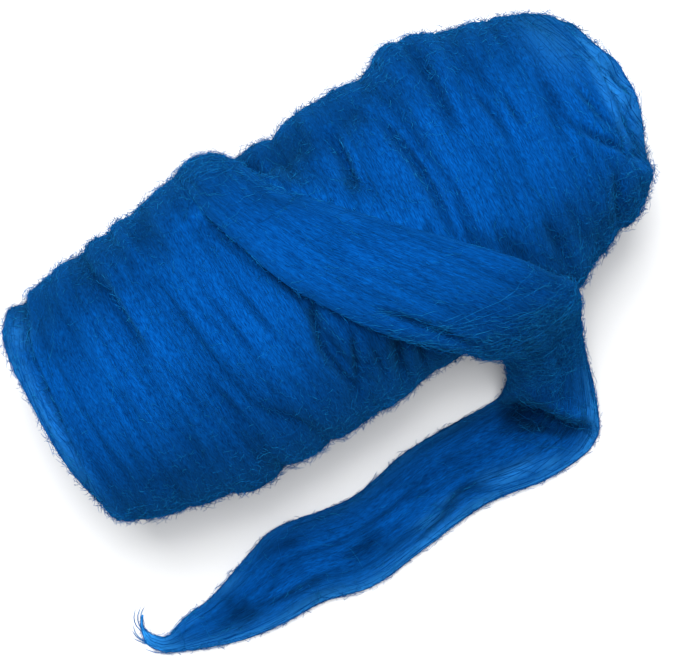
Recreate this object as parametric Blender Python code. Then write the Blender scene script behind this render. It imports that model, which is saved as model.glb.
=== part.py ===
"""Wool roving: combed wool wound into a roll, its loose end drawn over the top and laid beside it.

Two closed solids, each with its own material:
  roving_roll  the wound roll, with its main turns, hollow ends and a small flat spot that it rests on
  loose_end    the outermost band of wool, lying on the roll, dropping to the floor, folding and tapering

The tables hold millimetres and degrees, and the meshes are made in metres. The roll's axis runs along X,
the loose end lies on the -Y side, and the floor is Z = 0. Angles go round the axis from the top,
positive towards the loose end's side.
"""

import bpy
import numpy as np

MM = 0.001

AXIS_HEIGHT = 75.5
RING_POINTS = 60
ROLL_RINGS = 74
BAND_RINGS = 92
BAND_COLUMNS = 11

# Half widths of the roll at each place along its axis. The end faces fold back into a shallow hollow.
SECTION_COLUMNS = ("x", "back", "front", "top")
ROLL_SECTIONS = (
    (-158.5, 0.0, 0.0, 0.0),
    (-158.8, 12.0, 12.0, 12.0),
    (-159.8, 26.0, 23.0, 24.0),
    (-161.0, 40.0, 33.0, 35.0),
    (-162.0, 52.0, 42.5, 44.5),
    (-162.5, 60.5, 49.5, 53.5),
    (-158.5, 65.5, 56.5, 60.5),
    (-150.0, 67.5, 62.0, 64.5),
    (-134.0, 70.0, 66.5, 68.5),
    (-112.0, 74.0, 71.0, 72.5),
    (-90.0, 76.5, 76.0, 76.0),
    (-58.0, 79.0, 76.0, 77.0),
    (-34.0, 79.5, 75.0, 76.5),
    (-8.0, 76.0, 74.5, 75.5),
    (16.0, 79.0, 71.0, 75.0),
    (38.0, 81.0, 70.0, 75.0),
    (62.0, 79.5, 71.0, 76.0),
    (86.0, 86.0, 71.0, 77.5),
    (110.0, 80.0, 69.0, 74.5),
    (128.0, 75.0, 60.5, 69.0),
    (145.0, 69.5, 56.5, 65.0),
    (157.0, 66.0, 51.0, 59.5),
    (166.0, 61.5, 43.0, 51.5),
    (174.0, 53.5, 27.5, 41.0),
    (179.5, 40.0, 12.0, 29.0),
    (180.5, 24.0, 8.5, 17.0),
    (178.0, 10.0, 6.0, 9.0),
    (177.5, 0.0, 0.0, 0.0),
)

# The rows between the two end faces, where x only grows.
BODY_ROWS = slice(5, -4)

# The main turns: a raised band round the roll at x over the top, moved by "lean" at the loose end's side.
TURN_COLUMNS = ("x", "width", "lift", "lean")
TURNS = (
    (-156.0, 25.0, 3.0, -8.0),
    (-137.0, 32.0, 2.6, -3.0),
    (-116.0, 27.0, 3.0, 2.0),
    (-92.0, 30.0, 4.0, 6.0),
    (-71.0, 27.0, 3.0, 15.0),
    (-50.0, 27.0, 3.8, 18.0),
    (-29.0, 25.0, 2.6, 9.0),
    (-5.0, 32.0, 3.4, 3.0),
    (21.0, 32.0, 2.4, -8.0),
    (45.0, 27.0, 3.0, -9.0),
    (61.0, 19.0, 2.2, -6.0),
    (75.0, 18.0, 4.2, -6.0),
    (89.0, 21.0, 4.6, -10.0),
    (104.0, 22.0, 3.4, -9.0),
    (120.0, 23.0, 3.8, -7.0),
    (138.0, 25.0, 3.2, -9.0),
    (154.0, 21.0, 3.6, 6.0),
    (168.0, 20.0, 2.6, 12.0),
)
MOST_LIFT = 4.6

# Every turn also wanders by this much along the axis, each at its own place in the round.
WANDER = 2.5
WANDER_REACH = 21.0

# Dips between turns, each with its centre, its reach along and round the roll, and its depth.
DIP_COLUMNS = ("x", "degrees", "along", "round", "depth")
DIPS = (
    (3.0, -48.0, 9.0, 16.0, 5.0),
    (34.0, -36.0, 8.0, 20.0, 3.5),
    (69.0, -12.0, 5.0, 36.0, 3.5),
    (-104.0, -26.0, 5.0, 26.0, 2.5),
    (-18.0, 32.0, 5.0, 20.0, 3.5),
    (165.0, 24.0, 6.0, 22.0, 3.5),
)

# The folded turns that show as a spiral on the end faces.
RING_PITCH = 17.0
RING_LIFT = 2.2
SLOPE_STEP = 0.5

# The loose end where it lies on the roll: both edges by place along the axis and angle round it.
WOUND_COLUMNS = ("left_x", "left_deg", "right_x", "right_deg", "thick")
WOUND_ROWS = (
    (-37.0, -128.0, -31.0, -128.0, 1.8),
    (-43.0, -108.0, -27.0, -106.0, 3.0),
    (-45.0, -84.0, -22.0, -82.0, 4.0),
    (-42.5, -58.0, -12.5, -58.0, 6.0),
    (-39.0, -38.0, -2.5, -36.0, 7.0),
    (-32.0, -21.0, 17.5, -19.0, 7.5),
    (-23.0, -4.0, 38.0, -3.0, 7.5),
    (-12.0, 9.5, 59.0, 12.0, 8.0),
    (3.7, 26.0, 83.0, 30.0, 8.5),
    (19.5, 41.0, 96.5, 46.0, 9.0),
    (35.5, 57.0, 105.5, 60.0, 10.0),
)

# The loose end past the roll: both edges of its under side. It drops, folds over itself and tapers away.
FREE_COLUMNS = ("left_x", "left_y", "left_z", "right_x", "right_y", "right_z", "thick")
FREE_ROWS = (
    (51.0, -75.0, 74.0, 107.0, -78.5, 77.5, 11.0),
    (58.0, -83.0, 56.0, 104.5, -89.0, 60.5, 12.0),
    (59.0, -92.0, 38.0, 102.0, -103.0, 40.0, 12.0),
    (56.5, -100.0, 21.0, 99.0, -122.0, 21.0, 13.0),
    (52.0, -105.0, 9.0, 94.5, -139.5, 9.0, 13.0),
    (48.0, -107.5, 2.0, 91.0, -150.0, 2.5, 6.0),
    (43.5, -108.0, 0.0, 86.0, -155.5, 0.0, 5.0),
    (35.0, -108.0, 0.0, 74.0, -160.5, 0.0, 9.5),
    (18.0, -107.5, 0.0, 48.0, -161.5, 0.0, 13.5),
    (-13.0, -108.0, 0.0, 12.0, -156.5, 0.0, 14.0),
    (-49.0, -115.0, 0.0, -31.0, -161.0, 0.0, 13.0),
    (-71.0, -113.0, 0.0, -66.0, -165.0, 0.0, 13.5),
    (-100.0, -108.5, 0.0, -96.0, -158.5, 0.0, 12.5),
    (-124.0, -115.0, 0.0, -122.0, -158.0, 0.0, 11.0),
    (-150.0, -124.0, 0.0, -148.0, -154.0, 0.0, 8.5),
    (-170.0, -127.0, 0.0, -171.0, -146.5, 0.0, 6.5),
    (-183.0, -131.0, 0.0, -187.0, -139.5, 0.0, 4.5),
    (-188.0, -127.5, 0.0, -195.5, -129.0, 0.0, 3.5),
    (-190.5, -121.0, 0.0, -194.5, -120.0, 0.0, 2.5),
)

# Lengthwise locks and creases of the loose end. Row numbers count down both tables above, and "side" goes
# from 0 at the left edge to 1 at the right.
LOCK_COLUMNS = ("from_row", "to_row", "side_from", "side_to", "width", "lift")
LOCKS = (
    (4.0, 11.0, 0.30, 0.38, 0.12, -2.2),
    (6.0, 12.0, 0.72, 0.66, 0.10, -1.8),
    (10.0, 14.5, 0.52, 0.50, 0.12, 2.4),
    (14.5, 18.5, 0.97, 0.95, 0.10, 6.0),
    (17.0, 22.0, 0.62, 0.80, 0.10, -3.4),
    (17.5, 24.0, 0.28, 0.44, 0.10, -3.0),
    (20.0, 26.0, 0.66, 0.60, 0.14, 2.2),
)
LOCK_FADE = 0.7

# The loose end's section: thin at both edges, swelling to the row's thickness, and a gap above the roll.
EDGE_THICK = 1.6
SWELL_POWER = 0.8
BAND_GAP = 0.8
SOFTNESS = 2.0
NEAR_ROLL = 30.0

WOOL_BLUE = (0.003, 0.085, 0.32, 1.0)
LOOSE_BLUE = (0.003, 0.095, 0.35, 1.0)
ROUGHNESS = 0.75


def columns(rows):
    """The columns of a table, as arrays."""
    return np.array(rows, float).T


def through(knots, values, at):
    """A smooth curve through the values at the knots, read at the given places.

    Between two knots it is the cubic that has both values and both slopes, where a knot's slope is the
    weighted mean of the slopes beside it.
    """
    slopes = np.gradient(values, knots, axis=0, edge_order=1)
    low = np.clip(np.searchsorted(knots, at) - 1, 0, len(knots) - 2)
    span = knots[low + 1] - knots[low]
    part = (at - knots[low]) / span
    shape = part.shape + (1,) * (values.ndim - 1)
    span, part = span.reshape(shape), part.reshape(shape)
    start = values[low] * (1 + 2 * part) * (1 - part) ** 2
    end = values[low + 1] * part**2 * (3 - 2 * part)
    leaving = slopes[low] * span * part * (1 - part) ** 2
    arriving = slopes[low + 1] * span * part**2 * (part - 1)
    return start + end + leaving + arriving


def hump(distance, reach):
    """1 in the middle and 0 past the reach, as a squared cosine."""
    return np.cos(np.clip(distance / reach, -1, 1) * np.pi / 2) ** 2


def profile_lengths():
    """How far each row of ROLL_SECTIONS lies along the roll's profile, from the left hollow's middle."""
    x, back, front, top = columns(ROLL_SECTIONS)
    steps = np.hypot(np.diff(x), np.diff((back + front) / 2))
    return np.concatenate([[0], np.cumsum(steps)])


def turn_relief(x, angle):
    """The height of the main turns: each is a lens across its width, and the highest one shows.

    A turn's middle leans with the sine of the angle and wanders twice in each time round.
    """
    relief = np.zeros(np.broadcast(x, angle).shape)
    for place, width, lift, lean in TURNS:
        middle = place + lean * np.sin(angle) + WANDER * np.sin(2 * angle + place / WANDER_REACH)
        across = (x - middle) / (width / 2)
        relief = np.maximum(relief, lift * np.sqrt(np.clip(1 - across**2, 0, 1)))
    return relief


def dip_relief(x, angle):
    """The depth of the dips between turns."""
    relief = np.zeros(np.broadcast(x, angle).shape)
    for place, degrees, along, round_, depth in DIPS:
        turned = np.degrees(angle) - degrees
        relief -= depth * hump(x - place, 2 * along) * hump(turned, 2 * round_)
    return relief


def ring_relief(length, angle):
    """A spiral of folded turns on the end faces, one ring further out with each time round."""
    return RING_LIFT * np.abs(np.cos(np.pi * (length / RING_PITCH + angle / (2 * np.pi))))


def ellipse_radius(back, front, top, angle):
    """The roll's radius at an angle: one ellipse to the loose end's side and one to the back."""
    side = np.where(np.sin(angle) > 0, front, back)
    side, top = np.maximum(side, 1e-6), np.maximum(top, 1e-6)
    return 1 / np.hypot(np.sin(angle) / side, np.cos(angle) / top)


def roll_surface(length, angle):
    """Points of the roll at lengths along its profile and angles round its axis.

    The relief stands square to the profile: turns and dips where it runs along the axis, and the spiral
    where it faces along it. The floor cuts the underside flat.
    """
    rows = np.array(ROLL_SECTIONS)
    knots = profile_lengths()
    x, back, front, top = np.moveaxis(through(knots, rows, length), -1, 0)
    ahead = through(knots, rows, np.minimum(length + SLOPE_STEP, knots[-1]))
    behind = through(knots, rows, np.maximum(length - SLOPE_STEP, 0))
    rise_x = ahead[..., 0] - behind[..., 0]
    rise_r = ahead[..., 3] - behind[..., 3]
    steep = np.hypot(rise_x, rise_r)
    facing = np.clip(rise_x / steep, 0, 1)
    sides = facing * (turn_relief(x, angle) + dip_relief(x, angle))
    ends = (1 - facing**2) * ring_relief(length, angle)
    from_tip = np.minimum(length, knots[-1] - length)
    relief = (sides + ends) * np.clip(from_tip / RING_PITCH, 0, 1)
    radius = ellipse_radius(back, front, top, angle) + relief * rise_x / steep
    x = x - relief * rise_r / steep
    z = np.maximum(AXIS_HEIGHT + radius * np.cos(angle), 0)
    return np.stack([x, -radius * np.sin(angle), z], axis=-1)


def roll_reach(x, angle):
    """The radius that the crests of the turns reach at a place along the axis."""
    rows = np.array(ROLL_SECTIONS)[BODY_ROWS]
    knots = rows[:, 0]
    found = through(knots, rows, np.clip(x, knots[0], knots[-1]))
    return ellipse_radius(found[..., 1], found[..., 2], found[..., 3], angle) + MOST_LIFT


def skin(rings, first_tip, last_tip):
    """Vertices and faces of a closed skin: rings of points joined by quads, closed by a fan at each tip."""
    count, around = rings.shape[:2]
    points = np.concatenate([rings.reshape(-1, 3), [first_tip, last_tip]])
    ring, place = np.meshgrid(np.arange(count - 1), np.arange(around), indexing="ij")
    after = (place + 1) % around
    quads = np.stack([ring, ring, ring + 1, ring + 1]) * around + np.stack([place, after, after, place])
    quads = quads.reshape(4, -1).T.tolist()
    edge = np.arange(around)
    beyond = (edge + 1) % around
    first = np.stack([np.full(around, count * around), beyond, edge], axis=1).tolist()
    far = (count - 1) * around
    last = np.stack([np.full(around, count * around + 1), far + edge, far + beyond], axis=1).tolist()
    return points, quads + first + last


def add_solid(name, points, faces, colour):
    """A mesh object with its own material, its points given in millimetres."""
    mesh = bpy.data.meshes.new(name)
    mesh.from_pydata((points * MM).tolist(), [], faces)
    mesh.shade_smooth()
    material = bpy.data.materials.new(name + "_wool")
    material.use_nodes = True
    surface = material.node_tree.nodes["Principled BSDF"]
    surface.inputs["Base Color"].default_value = colour
    surface.inputs["Roughness"].default_value = ROUGHNESS
    surface.inputs["Metallic"].default_value = 0.0
    mesh.materials.append(material)
    solid = bpy.data.objects.new(name, mesh)
    bpy.context.scene.collection.objects.link(solid)
    return solid


def make_roll():
    """The wound roll, from the middle of one hollow end to the middle of the other."""
    whole = profile_lengths()[-1]
    length = np.linspace(0, whole, ROLL_RINGS + 2)
    angle = np.linspace(0, 2 * np.pi, RING_POINTS, endpoint=False)
    rings = roll_surface(length[1:-1, None], angle[None, :])
    tips = [(ROLL_SECTIONS[end][0], 0.0, AXIS_HEIGHT) for end in (0, -1)]
    points, faces = skin(rings, *tips)
    return add_solid("roving_roll", points, faces, WOOL_BLUE)


def band_edges():
    """Both edges of the loose end's under side and its thickness, row by row, as 7 columns of numbers."""
    left_x, left_deg, right_x, right_deg, thick = columns(WOUND_ROWS)
    wound = []
    for x, degrees in ((left_x, left_deg), (right_x, right_deg)):
        angle = np.radians(degrees)
        radius = roll_reach(x, angle) + BAND_GAP
        wound += [x, -radius * np.sin(angle), AXIS_HEIGHT + radius * np.cos(angle)]
    wound = np.stack([*wound, thick], axis=1)
    return np.concatenate([wound, np.array(FREE_ROWS)])


def clear_of_roll(points):
    """The points moved out from the roll's axis where they would come nearer than the gap, softly."""
    angle = np.arctan2(-points[..., 1], points[..., 2] - AXIS_HEIGHT)
    radius = np.hypot(points[..., 1], points[..., 2] - AXIS_HEIGHT)
    least = roll_reach(points[..., 0], angle) + BAND_GAP
    moved = (radius + least + np.hypot(radius - least, SOFTNESS)) / 2
    moved = np.where(radius > least + NEAR_ROLL, radius, moved)
    y = -moved * np.sin(angle)
    z = AXIS_HEIGHT + moved * np.cos(angle)
    return np.stack([points[..., 0], y, z], axis=-1)


def lock_relief(row, side):
    """The height of the lengthwise locks: each runs along its line and fades out at both of its ends."""
    relief = np.zeros(np.broadcast(row, side).shape)
    for start, end, side_start, side_end, width, lift in LOCKS:
        part = np.clip((row - start) / (end - start), 0, 1)
        line = side_start + (side_end - side_start) * part
        relief += lift * hump(side - line, width) * np.sin(np.pi * part) ** LOCK_FADE
    return relief


def outward(grid):
    """Unit normals of a grid of points, to the side that is up when the band lies flat."""
    along = np.gradient(grid, axis=0)
    across = np.gradient(grid, axis=1)
    normal = np.cross(along, across)
    return normal / np.maximum(np.linalg.norm(normal, axis=-1, keepdims=True), 1e-9)


def make_loose_end():
    """The loose end: an under side between two edges, and a top that swells above it across the band."""
    edges = band_edges()
    knots = np.arange(len(edges), dtype=float)
    row = np.linspace(0, knots[-1], BAND_RINGS)
    found = through(knots, edges, row)
    side = (1 - np.cos(np.linspace(0, np.pi, BAND_COLUMNS))) / 2
    left, right, thick = found[:, None, :3], found[:, None, 3:6], found[:, 6:]
    under = left + (right - left) * side[None, :, None]
    under = clear_of_roll(under)
    under[..., 2] = np.maximum(under[..., 2], 0)
    swell = np.sqrt(np.clip(1 - (2 * side - 1) ** 2, 0, 1)) ** SWELL_POWER
    depth = EDGE_THICK + (thick - EDGE_THICK) * swell[None, :] + lock_relief(row[:, None], side[None, :])
    depth = np.maximum(depth, EDGE_THICK)
    top = under + outward(under) * depth[..., None]
    rings = np.concatenate([under, top[:, ::-1]], axis=1)
    points, faces = skin(rings, rings[0].mean(axis=0), rings[-1].mean(axis=0))
    return add_solid("loose_end", points, faces, LOOSE_BLUE)


def main():
    for old in list(bpy.data.objects):
        bpy.data.objects.remove(old, do_unlink=True)
    make_roll()
    make_loose_end()


main()
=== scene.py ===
# %% [markdown]
# # A roll of wool roving
#
# Roving is wool that has been washed, dyed and combed until all its fibres lie the same way, but not yet
# spun. It leaves the comb as one endless soft band about as wide as three fingers, and it is sold wound
# into a fat roll. This roll lies on a table. Its loose end comes over the top, drops down the front, folds
# over and tapers away beside the roll.
#
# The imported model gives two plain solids, `roving_roll` and `loose_end`. This file dresses them. Each one is
# replaced by a much finer skin of the same form, and then covered with thousands of thin locks of wool that
# run the way the real fibres run.

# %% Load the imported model
import math

import bpy
import numpy as np
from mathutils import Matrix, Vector


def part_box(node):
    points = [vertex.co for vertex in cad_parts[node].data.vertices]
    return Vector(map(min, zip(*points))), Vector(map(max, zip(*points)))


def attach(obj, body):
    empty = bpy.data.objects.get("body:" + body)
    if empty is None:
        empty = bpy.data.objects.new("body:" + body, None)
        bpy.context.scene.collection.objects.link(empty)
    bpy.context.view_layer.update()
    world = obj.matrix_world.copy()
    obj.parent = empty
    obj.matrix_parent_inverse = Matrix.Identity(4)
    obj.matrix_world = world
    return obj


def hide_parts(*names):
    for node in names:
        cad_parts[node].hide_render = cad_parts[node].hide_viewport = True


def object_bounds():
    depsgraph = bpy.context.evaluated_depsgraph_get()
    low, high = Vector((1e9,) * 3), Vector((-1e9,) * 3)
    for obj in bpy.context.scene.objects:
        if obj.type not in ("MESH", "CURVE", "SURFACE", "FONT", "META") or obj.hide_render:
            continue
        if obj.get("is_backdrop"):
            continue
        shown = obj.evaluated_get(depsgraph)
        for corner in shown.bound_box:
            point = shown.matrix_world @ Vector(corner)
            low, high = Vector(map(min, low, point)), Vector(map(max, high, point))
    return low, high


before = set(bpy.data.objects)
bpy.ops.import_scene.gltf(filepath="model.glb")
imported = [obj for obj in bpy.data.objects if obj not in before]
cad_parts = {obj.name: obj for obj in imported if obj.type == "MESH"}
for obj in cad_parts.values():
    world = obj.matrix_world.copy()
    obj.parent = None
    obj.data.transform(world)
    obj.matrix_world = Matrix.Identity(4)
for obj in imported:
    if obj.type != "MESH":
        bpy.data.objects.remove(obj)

MM = 0.001
CAD_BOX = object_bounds()
print("nodes:", sorted(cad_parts))
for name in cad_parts:
    low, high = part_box(name)
    print(name, "in mm:", [round(1000 * value) for value in (*low, *high)])

# %% [markdown]
# ## Three small tools
#
# Every shape below is a table of a few measured sections, made into a smooth surface by arithmetic on whole
# arrays. Three tools do the common work. The first draws a smooth curve through the rows of a table. The
# second gives soft random heights, which make one lock of wool differ from the next. The third turns arrays
# of points and faces into a mesh. Random numbers are always seeded, so each run gives the same wool.


# %% A smooth curve through the rows of a table
def through(knots, values, at):
    """A smooth curve through the values at the knots, read at the given places.

    Between two knots it is the cubic that has both values and both slopes, where a knot's slope is the
    weighted mean of the slopes beside it.
    """
    slopes = np.gradient(values, knots, axis=0, edge_order=1)
    low = np.clip(np.searchsorted(knots, at) - 1, 0, len(knots) - 2)
    span = knots[low + 1] - knots[low]
    part = (at - knots[low]) / span
    shape = part.shape + (1,) * (values.ndim - 1)
    span, part = span.reshape(shape), part.reshape(shape)
    start = values[low] * (1 + 2 * part) * (1 - part) ** 2
    end = values[low + 1] * part**2 * (3 - 2 * part)
    leaving = slopes[low] * span * part * (1 - part) ** 2
    arriving = slopes[low + 1] * span * part**2 * (part - 1)
    return start + end + leaving + arriving


def hump(distance, reach):
    """1 in the middle and 0 past the reach, as a squared cosine."""
    return np.cos(np.clip(distance / reach, -1, 1) * np.pi / 2) ** 2


# %% Soft random heights
LATTICE = 256


def soft_noise(u, v, seed, around=LATTICE):
    """Random heights from -1 to 1 that change smoothly, and repeat after `around` steps of v.

    Random numbers stand at the whole numbers of u and v, and between them the height is blended with the
    weight 3t^2 - 2t^3 each way.
    """
    table = np.random.default_rng(seed).uniform(-1, 1, (LATTICE, around))
    u, v = np.broadcast_arrays(np.asarray(u, float), np.asarray(v, float))
    low_u, low_v = np.floor(u).astype(int), np.floor(v).astype(int)
    part_u, part_v = u - low_u, v - low_v
    part_u = part_u**2 * (3 - 2 * part_u)
    part_v = part_v**2 * (3 - 2 * part_v)
    rows, next_rows = low_u % LATTICE, (low_u + 1) % LATTICE
    cols, next_cols = low_v % around, (low_v + 1) % around
    first = table[rows, cols] * (1 - part_v) + table[rows, next_cols] * part_v
    second = table[next_rows, cols] * (1 - part_v) + table[next_rows, next_cols] * part_v
    return first * (1 - part_u) + second * part_u


# %% A mesh from whole arrays
PATTERN_MAP = "OFBake"
SHADE_NAME = "shade"
PAINTED_LIGHT_NAME = "painted_light"


def add_mesh(name, points, face_groups, corner_maps, material, marks=()):
    """A mesh object from points in millimetres, with named marks that give one number for each point.

    Each face group is an array with one row of point numbers for each face, and its corner map holds the
    pattern's place at each of those corners. All of it goes in as flat arrays.
    """
    mesh = bpy.data.meshes.new(name)
    mesh.vertices.add(len(points))
    mesh.vertices.foreach_set("co", (points * MM).astype(np.float32).ravel())
    corners = np.concatenate([group.ravel() for group in face_groups])
    sizes = np.concatenate([np.full(len(group), group.shape[1]) for group in face_groups])
    starts = np.concatenate([[0], np.cumsum(sizes)[:-1]])
    mesh.loops.add(len(corners))
    mesh.loops.foreach_set("vertex_index", corners.astype(np.int32))
    mesh.polygons.add(len(sizes))
    mesh.polygons.foreach_set("loop_start", starts.astype(np.int32))
    places = np.concatenate([one.reshape(-1, 2) for one in corner_maps]).astype(np.float32)
    mesh.uv_layers.new(name=PATTERN_MAP).uv.foreach_set("vector", places.ravel())
    mesh.update(calc_edges=True)
    mesh.validate()
    mesh.shade_smooth()
    for mark, numbers in marks:
        mesh.attributes.new(mark, "FLOAT", "POINT").data.foreach_set("value", numbers.astype(np.float32))
    mesh.materials.append(material)
    piece = bpy.data.objects.new(name, mesh)
    bpy.context.scene.collection.objects.link(piece)
    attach(piece, "root")
    print(f"{name}: {(sizes - 2).sum()} triangles")
    return piece


# %% [markdown]
# ## The finish of the wool
#
# Dyed wool has almost no shine of its own. What the eye sees is thousands of fine fibres side by side, each
# a little lighter or darker than the next, and crimped, because wool grows in waves. So the colour follows
# the piece's own map, whose first number runs along the fibres and whose second runs across them. Noise
# that is stretched far along the fibres gives the streaks, and a second, rounder noise pushes the streaks
# sideways to and fro, which gives the crimp. The same streaks lift the surface a little as a bump. A faint
# sheen in a lighter blue stands for the haze of loose fibres, where the surface turns away.
#
# A fibre sends back the light that crosses it and little of the light that runs along it. The light comes
# from above, so wool that runs downwards is darker than wool that lies across, and so is wool deep in a
# crease. That shade is painted: each skin carries it as one number at each point, and the colour is times
# that number.
#
# Where wool is only a few fibres thick, light comes through it and it looks paler: at the rims of the loose
# end, in the haze at the end of the roll, and at the free end of each stray fibre. Each skin carries that
# painted light as a second number, and the colour moves towards the pale one by it.

# %% Colours of the wool
WOOL_LIT = (0.000965, 0.0685, 0.3)
WOOL_MID = (0.000648, 0.0477, 0.22)
WOOL_DEEP = (0.000404, 0.0254, 0.129)
WOOL_SHADE = (0.000485, 0.0358, 0.171)
WOOL_BRIGHT = (0.00081, 0.0611, 0.27)
STRAY_PALE = (0.010, 0.22, 0.48)
# The pale blue that painted light moves the wool's colour towards.
PAINTED_LIGHT_WOOL = (0.03, 0.30, 0.82, 1.0)
SHEEN_TINT = (0.03, 0.36, 0.95, 1.0)
SKIN_COLOURS = (WOOL_DEEP, WOOL_MID, WOOL_LIT)
STRAND_COLOURS = (WOOL_SHADE, WOOL_MID, WOOL_BRIGHT)
STRAY_COLOURS = (WOOL_MID, WOOL_LIT, STRAY_PALE)

# The broad streaks count less than the fine ones, and the colours spread over this range of their sum.
BROAD_SHARE = 0.35
STREAK_RANGE = (0.51, 0.83)
BUMP_DEPTH = 0.5 * MM
# The painted shades that the first and the last column of the strands' map stand for.
LEAST_SHADE = 0.15
MOST_SHADE = 1.1
# How far along a strand it begins to grow pale with painted light, as a share of its pattern.
PALE_FROM = 0.3


# %% Nodes of the wool's finish
def fill(tree, node, inputs):
    """Set a node's inputs by name or number: a socket is linked to it, and anything else is its value."""
    for name, value in inputs.items():
        if isinstance(value, bpy.types.NodeSocket):
            tree.links.new(value, node.inputs[name])
        else:
            node.inputs[name].default_value = value


def add_node(tree, kind, inputs, operation=None):
    """A new shader node with its operation and its inputs set."""
    node = tree.nodes.new("ShaderNode" + kind)
    if operation:
        node.operation = operation
    fill(tree, node, inputs)
    return node


def colour_ramp(tree, amount, colours):
    """The colour at an amount from 0 to 1, on a ramp through the colours at even steps."""
    ramp = add_node(tree, "ValToRGB", {"Fac": amount})
    elements = ramp.color_ramp.elements
    while len(elements) < len(colours):
        elements.new(0.5)
    for place, element, colour in zip(np.linspace(0, 1, len(colours)), elements, colours):
        element.position = place
        element.color = (*colour, 1.0)
    return ramp.outputs["Color"]


def streak_noise(tree, place, along, across, detail):
    """Noise read from a place in the pattern map, at so many cells along and across the fibres."""
    stretched = add_node(tree, "Mapping", {"Vector": place, "Scale": (along, across, 1.0)})
    settings = {"Vector": stretched.outputs["Vector"], "Scale": 1.0, "Detail": detail, "Roughness": 0.6}
    return add_node(tree, "TexNoise", settings).outputs["Fac"]


def crimped(tree, place, along, across, reach):
    """The place, pushed across the fibres to and fro: second number + reach * (noise - 1/2)."""
    noise = streak_noise(tree, place, along, across, 1.0)
    push = add_node(tree, "MapRange", {"Value": noise, "To Min": -reach / 2, "To Max": reach / 2})
    aside = add_node(tree, "CombineXYZ", {"Y": push.outputs["Result"]})
    return add_node(tree, "VectorMath", {0: place, 1: aside.outputs["Vector"]}, "ADD").outputs["Vector"]


def carried_numbers(tree):
    """The painted shade and painted light that a skin carries at each point."""
    found = []
    for mark in (SHADE_NAME, PAINTED_LIGHT_NAME):
        carried = add_node(tree, "Attribute", {})
        carried.attribute_name = mark
        found.append(carried.outputs["Fac"])
    return found


def strand_numbers(tree, place, pale_end):
    """The painted shade of a strand, which its column stands for, and its painted light, which grows to its
    free end.
    """
    parts = add_node(tree, "SeparateXYZ", {"Vector": place})
    column = {"Value": parts.outputs["Y"], "To Min": LEAST_SHADE, "To Max": MOST_SHADE}
    towards_end = {"Value": parts.outputs["X"], "From Min": PALE_FROM, "To Max": pale_end}
    return [add_node(tree, "MapRange", inputs).outputs["Result"] for inputs in (column, towards_end)]


def wool_finish(name, streaks, colours, crimp=None, pale_end=0.0):
    """The wool's material: streaks along the fibres, in colour and in bump, under a soft sheen.

    Broad and fine streaks are each given as cells along and across the fibres, and detail. A crimp is given
    as cells along and across, and reach. Skins have crimp and bump, and carry their painted shade and
    painted light. Strands have neither crimp nor bump, and their map gives both numbers.
    """
    material = bpy.data.materials.new(name)
    material.use_nodes = True
    tree = material.node_tree
    surface = tree.nodes["Principled BSDF"]
    pattern = add_node(tree, "UVMap", {})
    pattern.uv_map = PATTERN_MAP
    place = pattern.outputs["UV"]
    if crimp:
        shade, painted_light = carried_numbers(tree)
        place = crimped(tree, place, *crimp)
    else:
        shade, painted_light = strand_numbers(tree, place, pale_end)
    broad, fine = (streak_noise(tree, place, *one) for one in streaks)
    both = add_node(tree, "Math", {0: broad, 1: BROAD_SHARE, 2: fine}, "MULTIPLY_ADD")
    least, most = STREAK_RANGE
    spread = add_node(tree, "MapRange", {"Value": both.outputs[0], "From Min": least, "From Max": most})
    colour = colour_ramp(tree, spread.outputs["Result"], colours)
    # The colour times its painted shade, then moved towards the pale blue by its painted light.
    shaded = add_node(tree, "VectorMath", {0: colour, "Scale": shade}, "SCALE")
    paler = add_node(tree, "Mix", {})
    paler.data_type = "RGBA"
    fill(tree, paler, {"Factor": painted_light, "A": shaded.outputs["Vector"], "B": PAINTED_LIGHT_WOOL})
    gloss = {"Roughness": 0.7, "Specular IOR Level": 0.0}
    sheen = {"Sheen Weight": 0.20, "Sheen Roughness": 0.5, "Sheen Tint": SHEEN_TINT}
    fill(tree, surface, {"Base Color": paler.outputs["Result"], **gloss, **sheen})
    if crimp:
        relief = add_node(tree, "Bump", {"Height": fine, "Strength": 0.9, "Distance": BUMP_DEPTH})
        fill(tree, surface, {"Normal": relief.outputs["Normal"]})
    return material


# %% [markdown]
# ## The roll's form
#
# A roll of roving isn't a clean cylinder. Each turn of the band is soft and about 55 mm wide, and it lies
# half over the one before, so the side of the roll is a row of low lenses with a crease between each two.
# The section changes along the axis, the underside is pressed flat by the roll's own weight, and the turns
# at the ends fold inwards round a shallow hollow.
#
# The surface is a function of two numbers: how far along the profile, from one hollow over the side to the
# other hollow, and the angle round the axis. Heights that stand square to the profile are added one after
# another: the turns, the dips between them, the rings of the ends, the creases, and the locks within each
# turn. The tables below hold millimetres and degrees, and each one's comment names its columns.

# %% Sections and turns of the roll
AXIS_HEIGHT = 75.5
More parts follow.
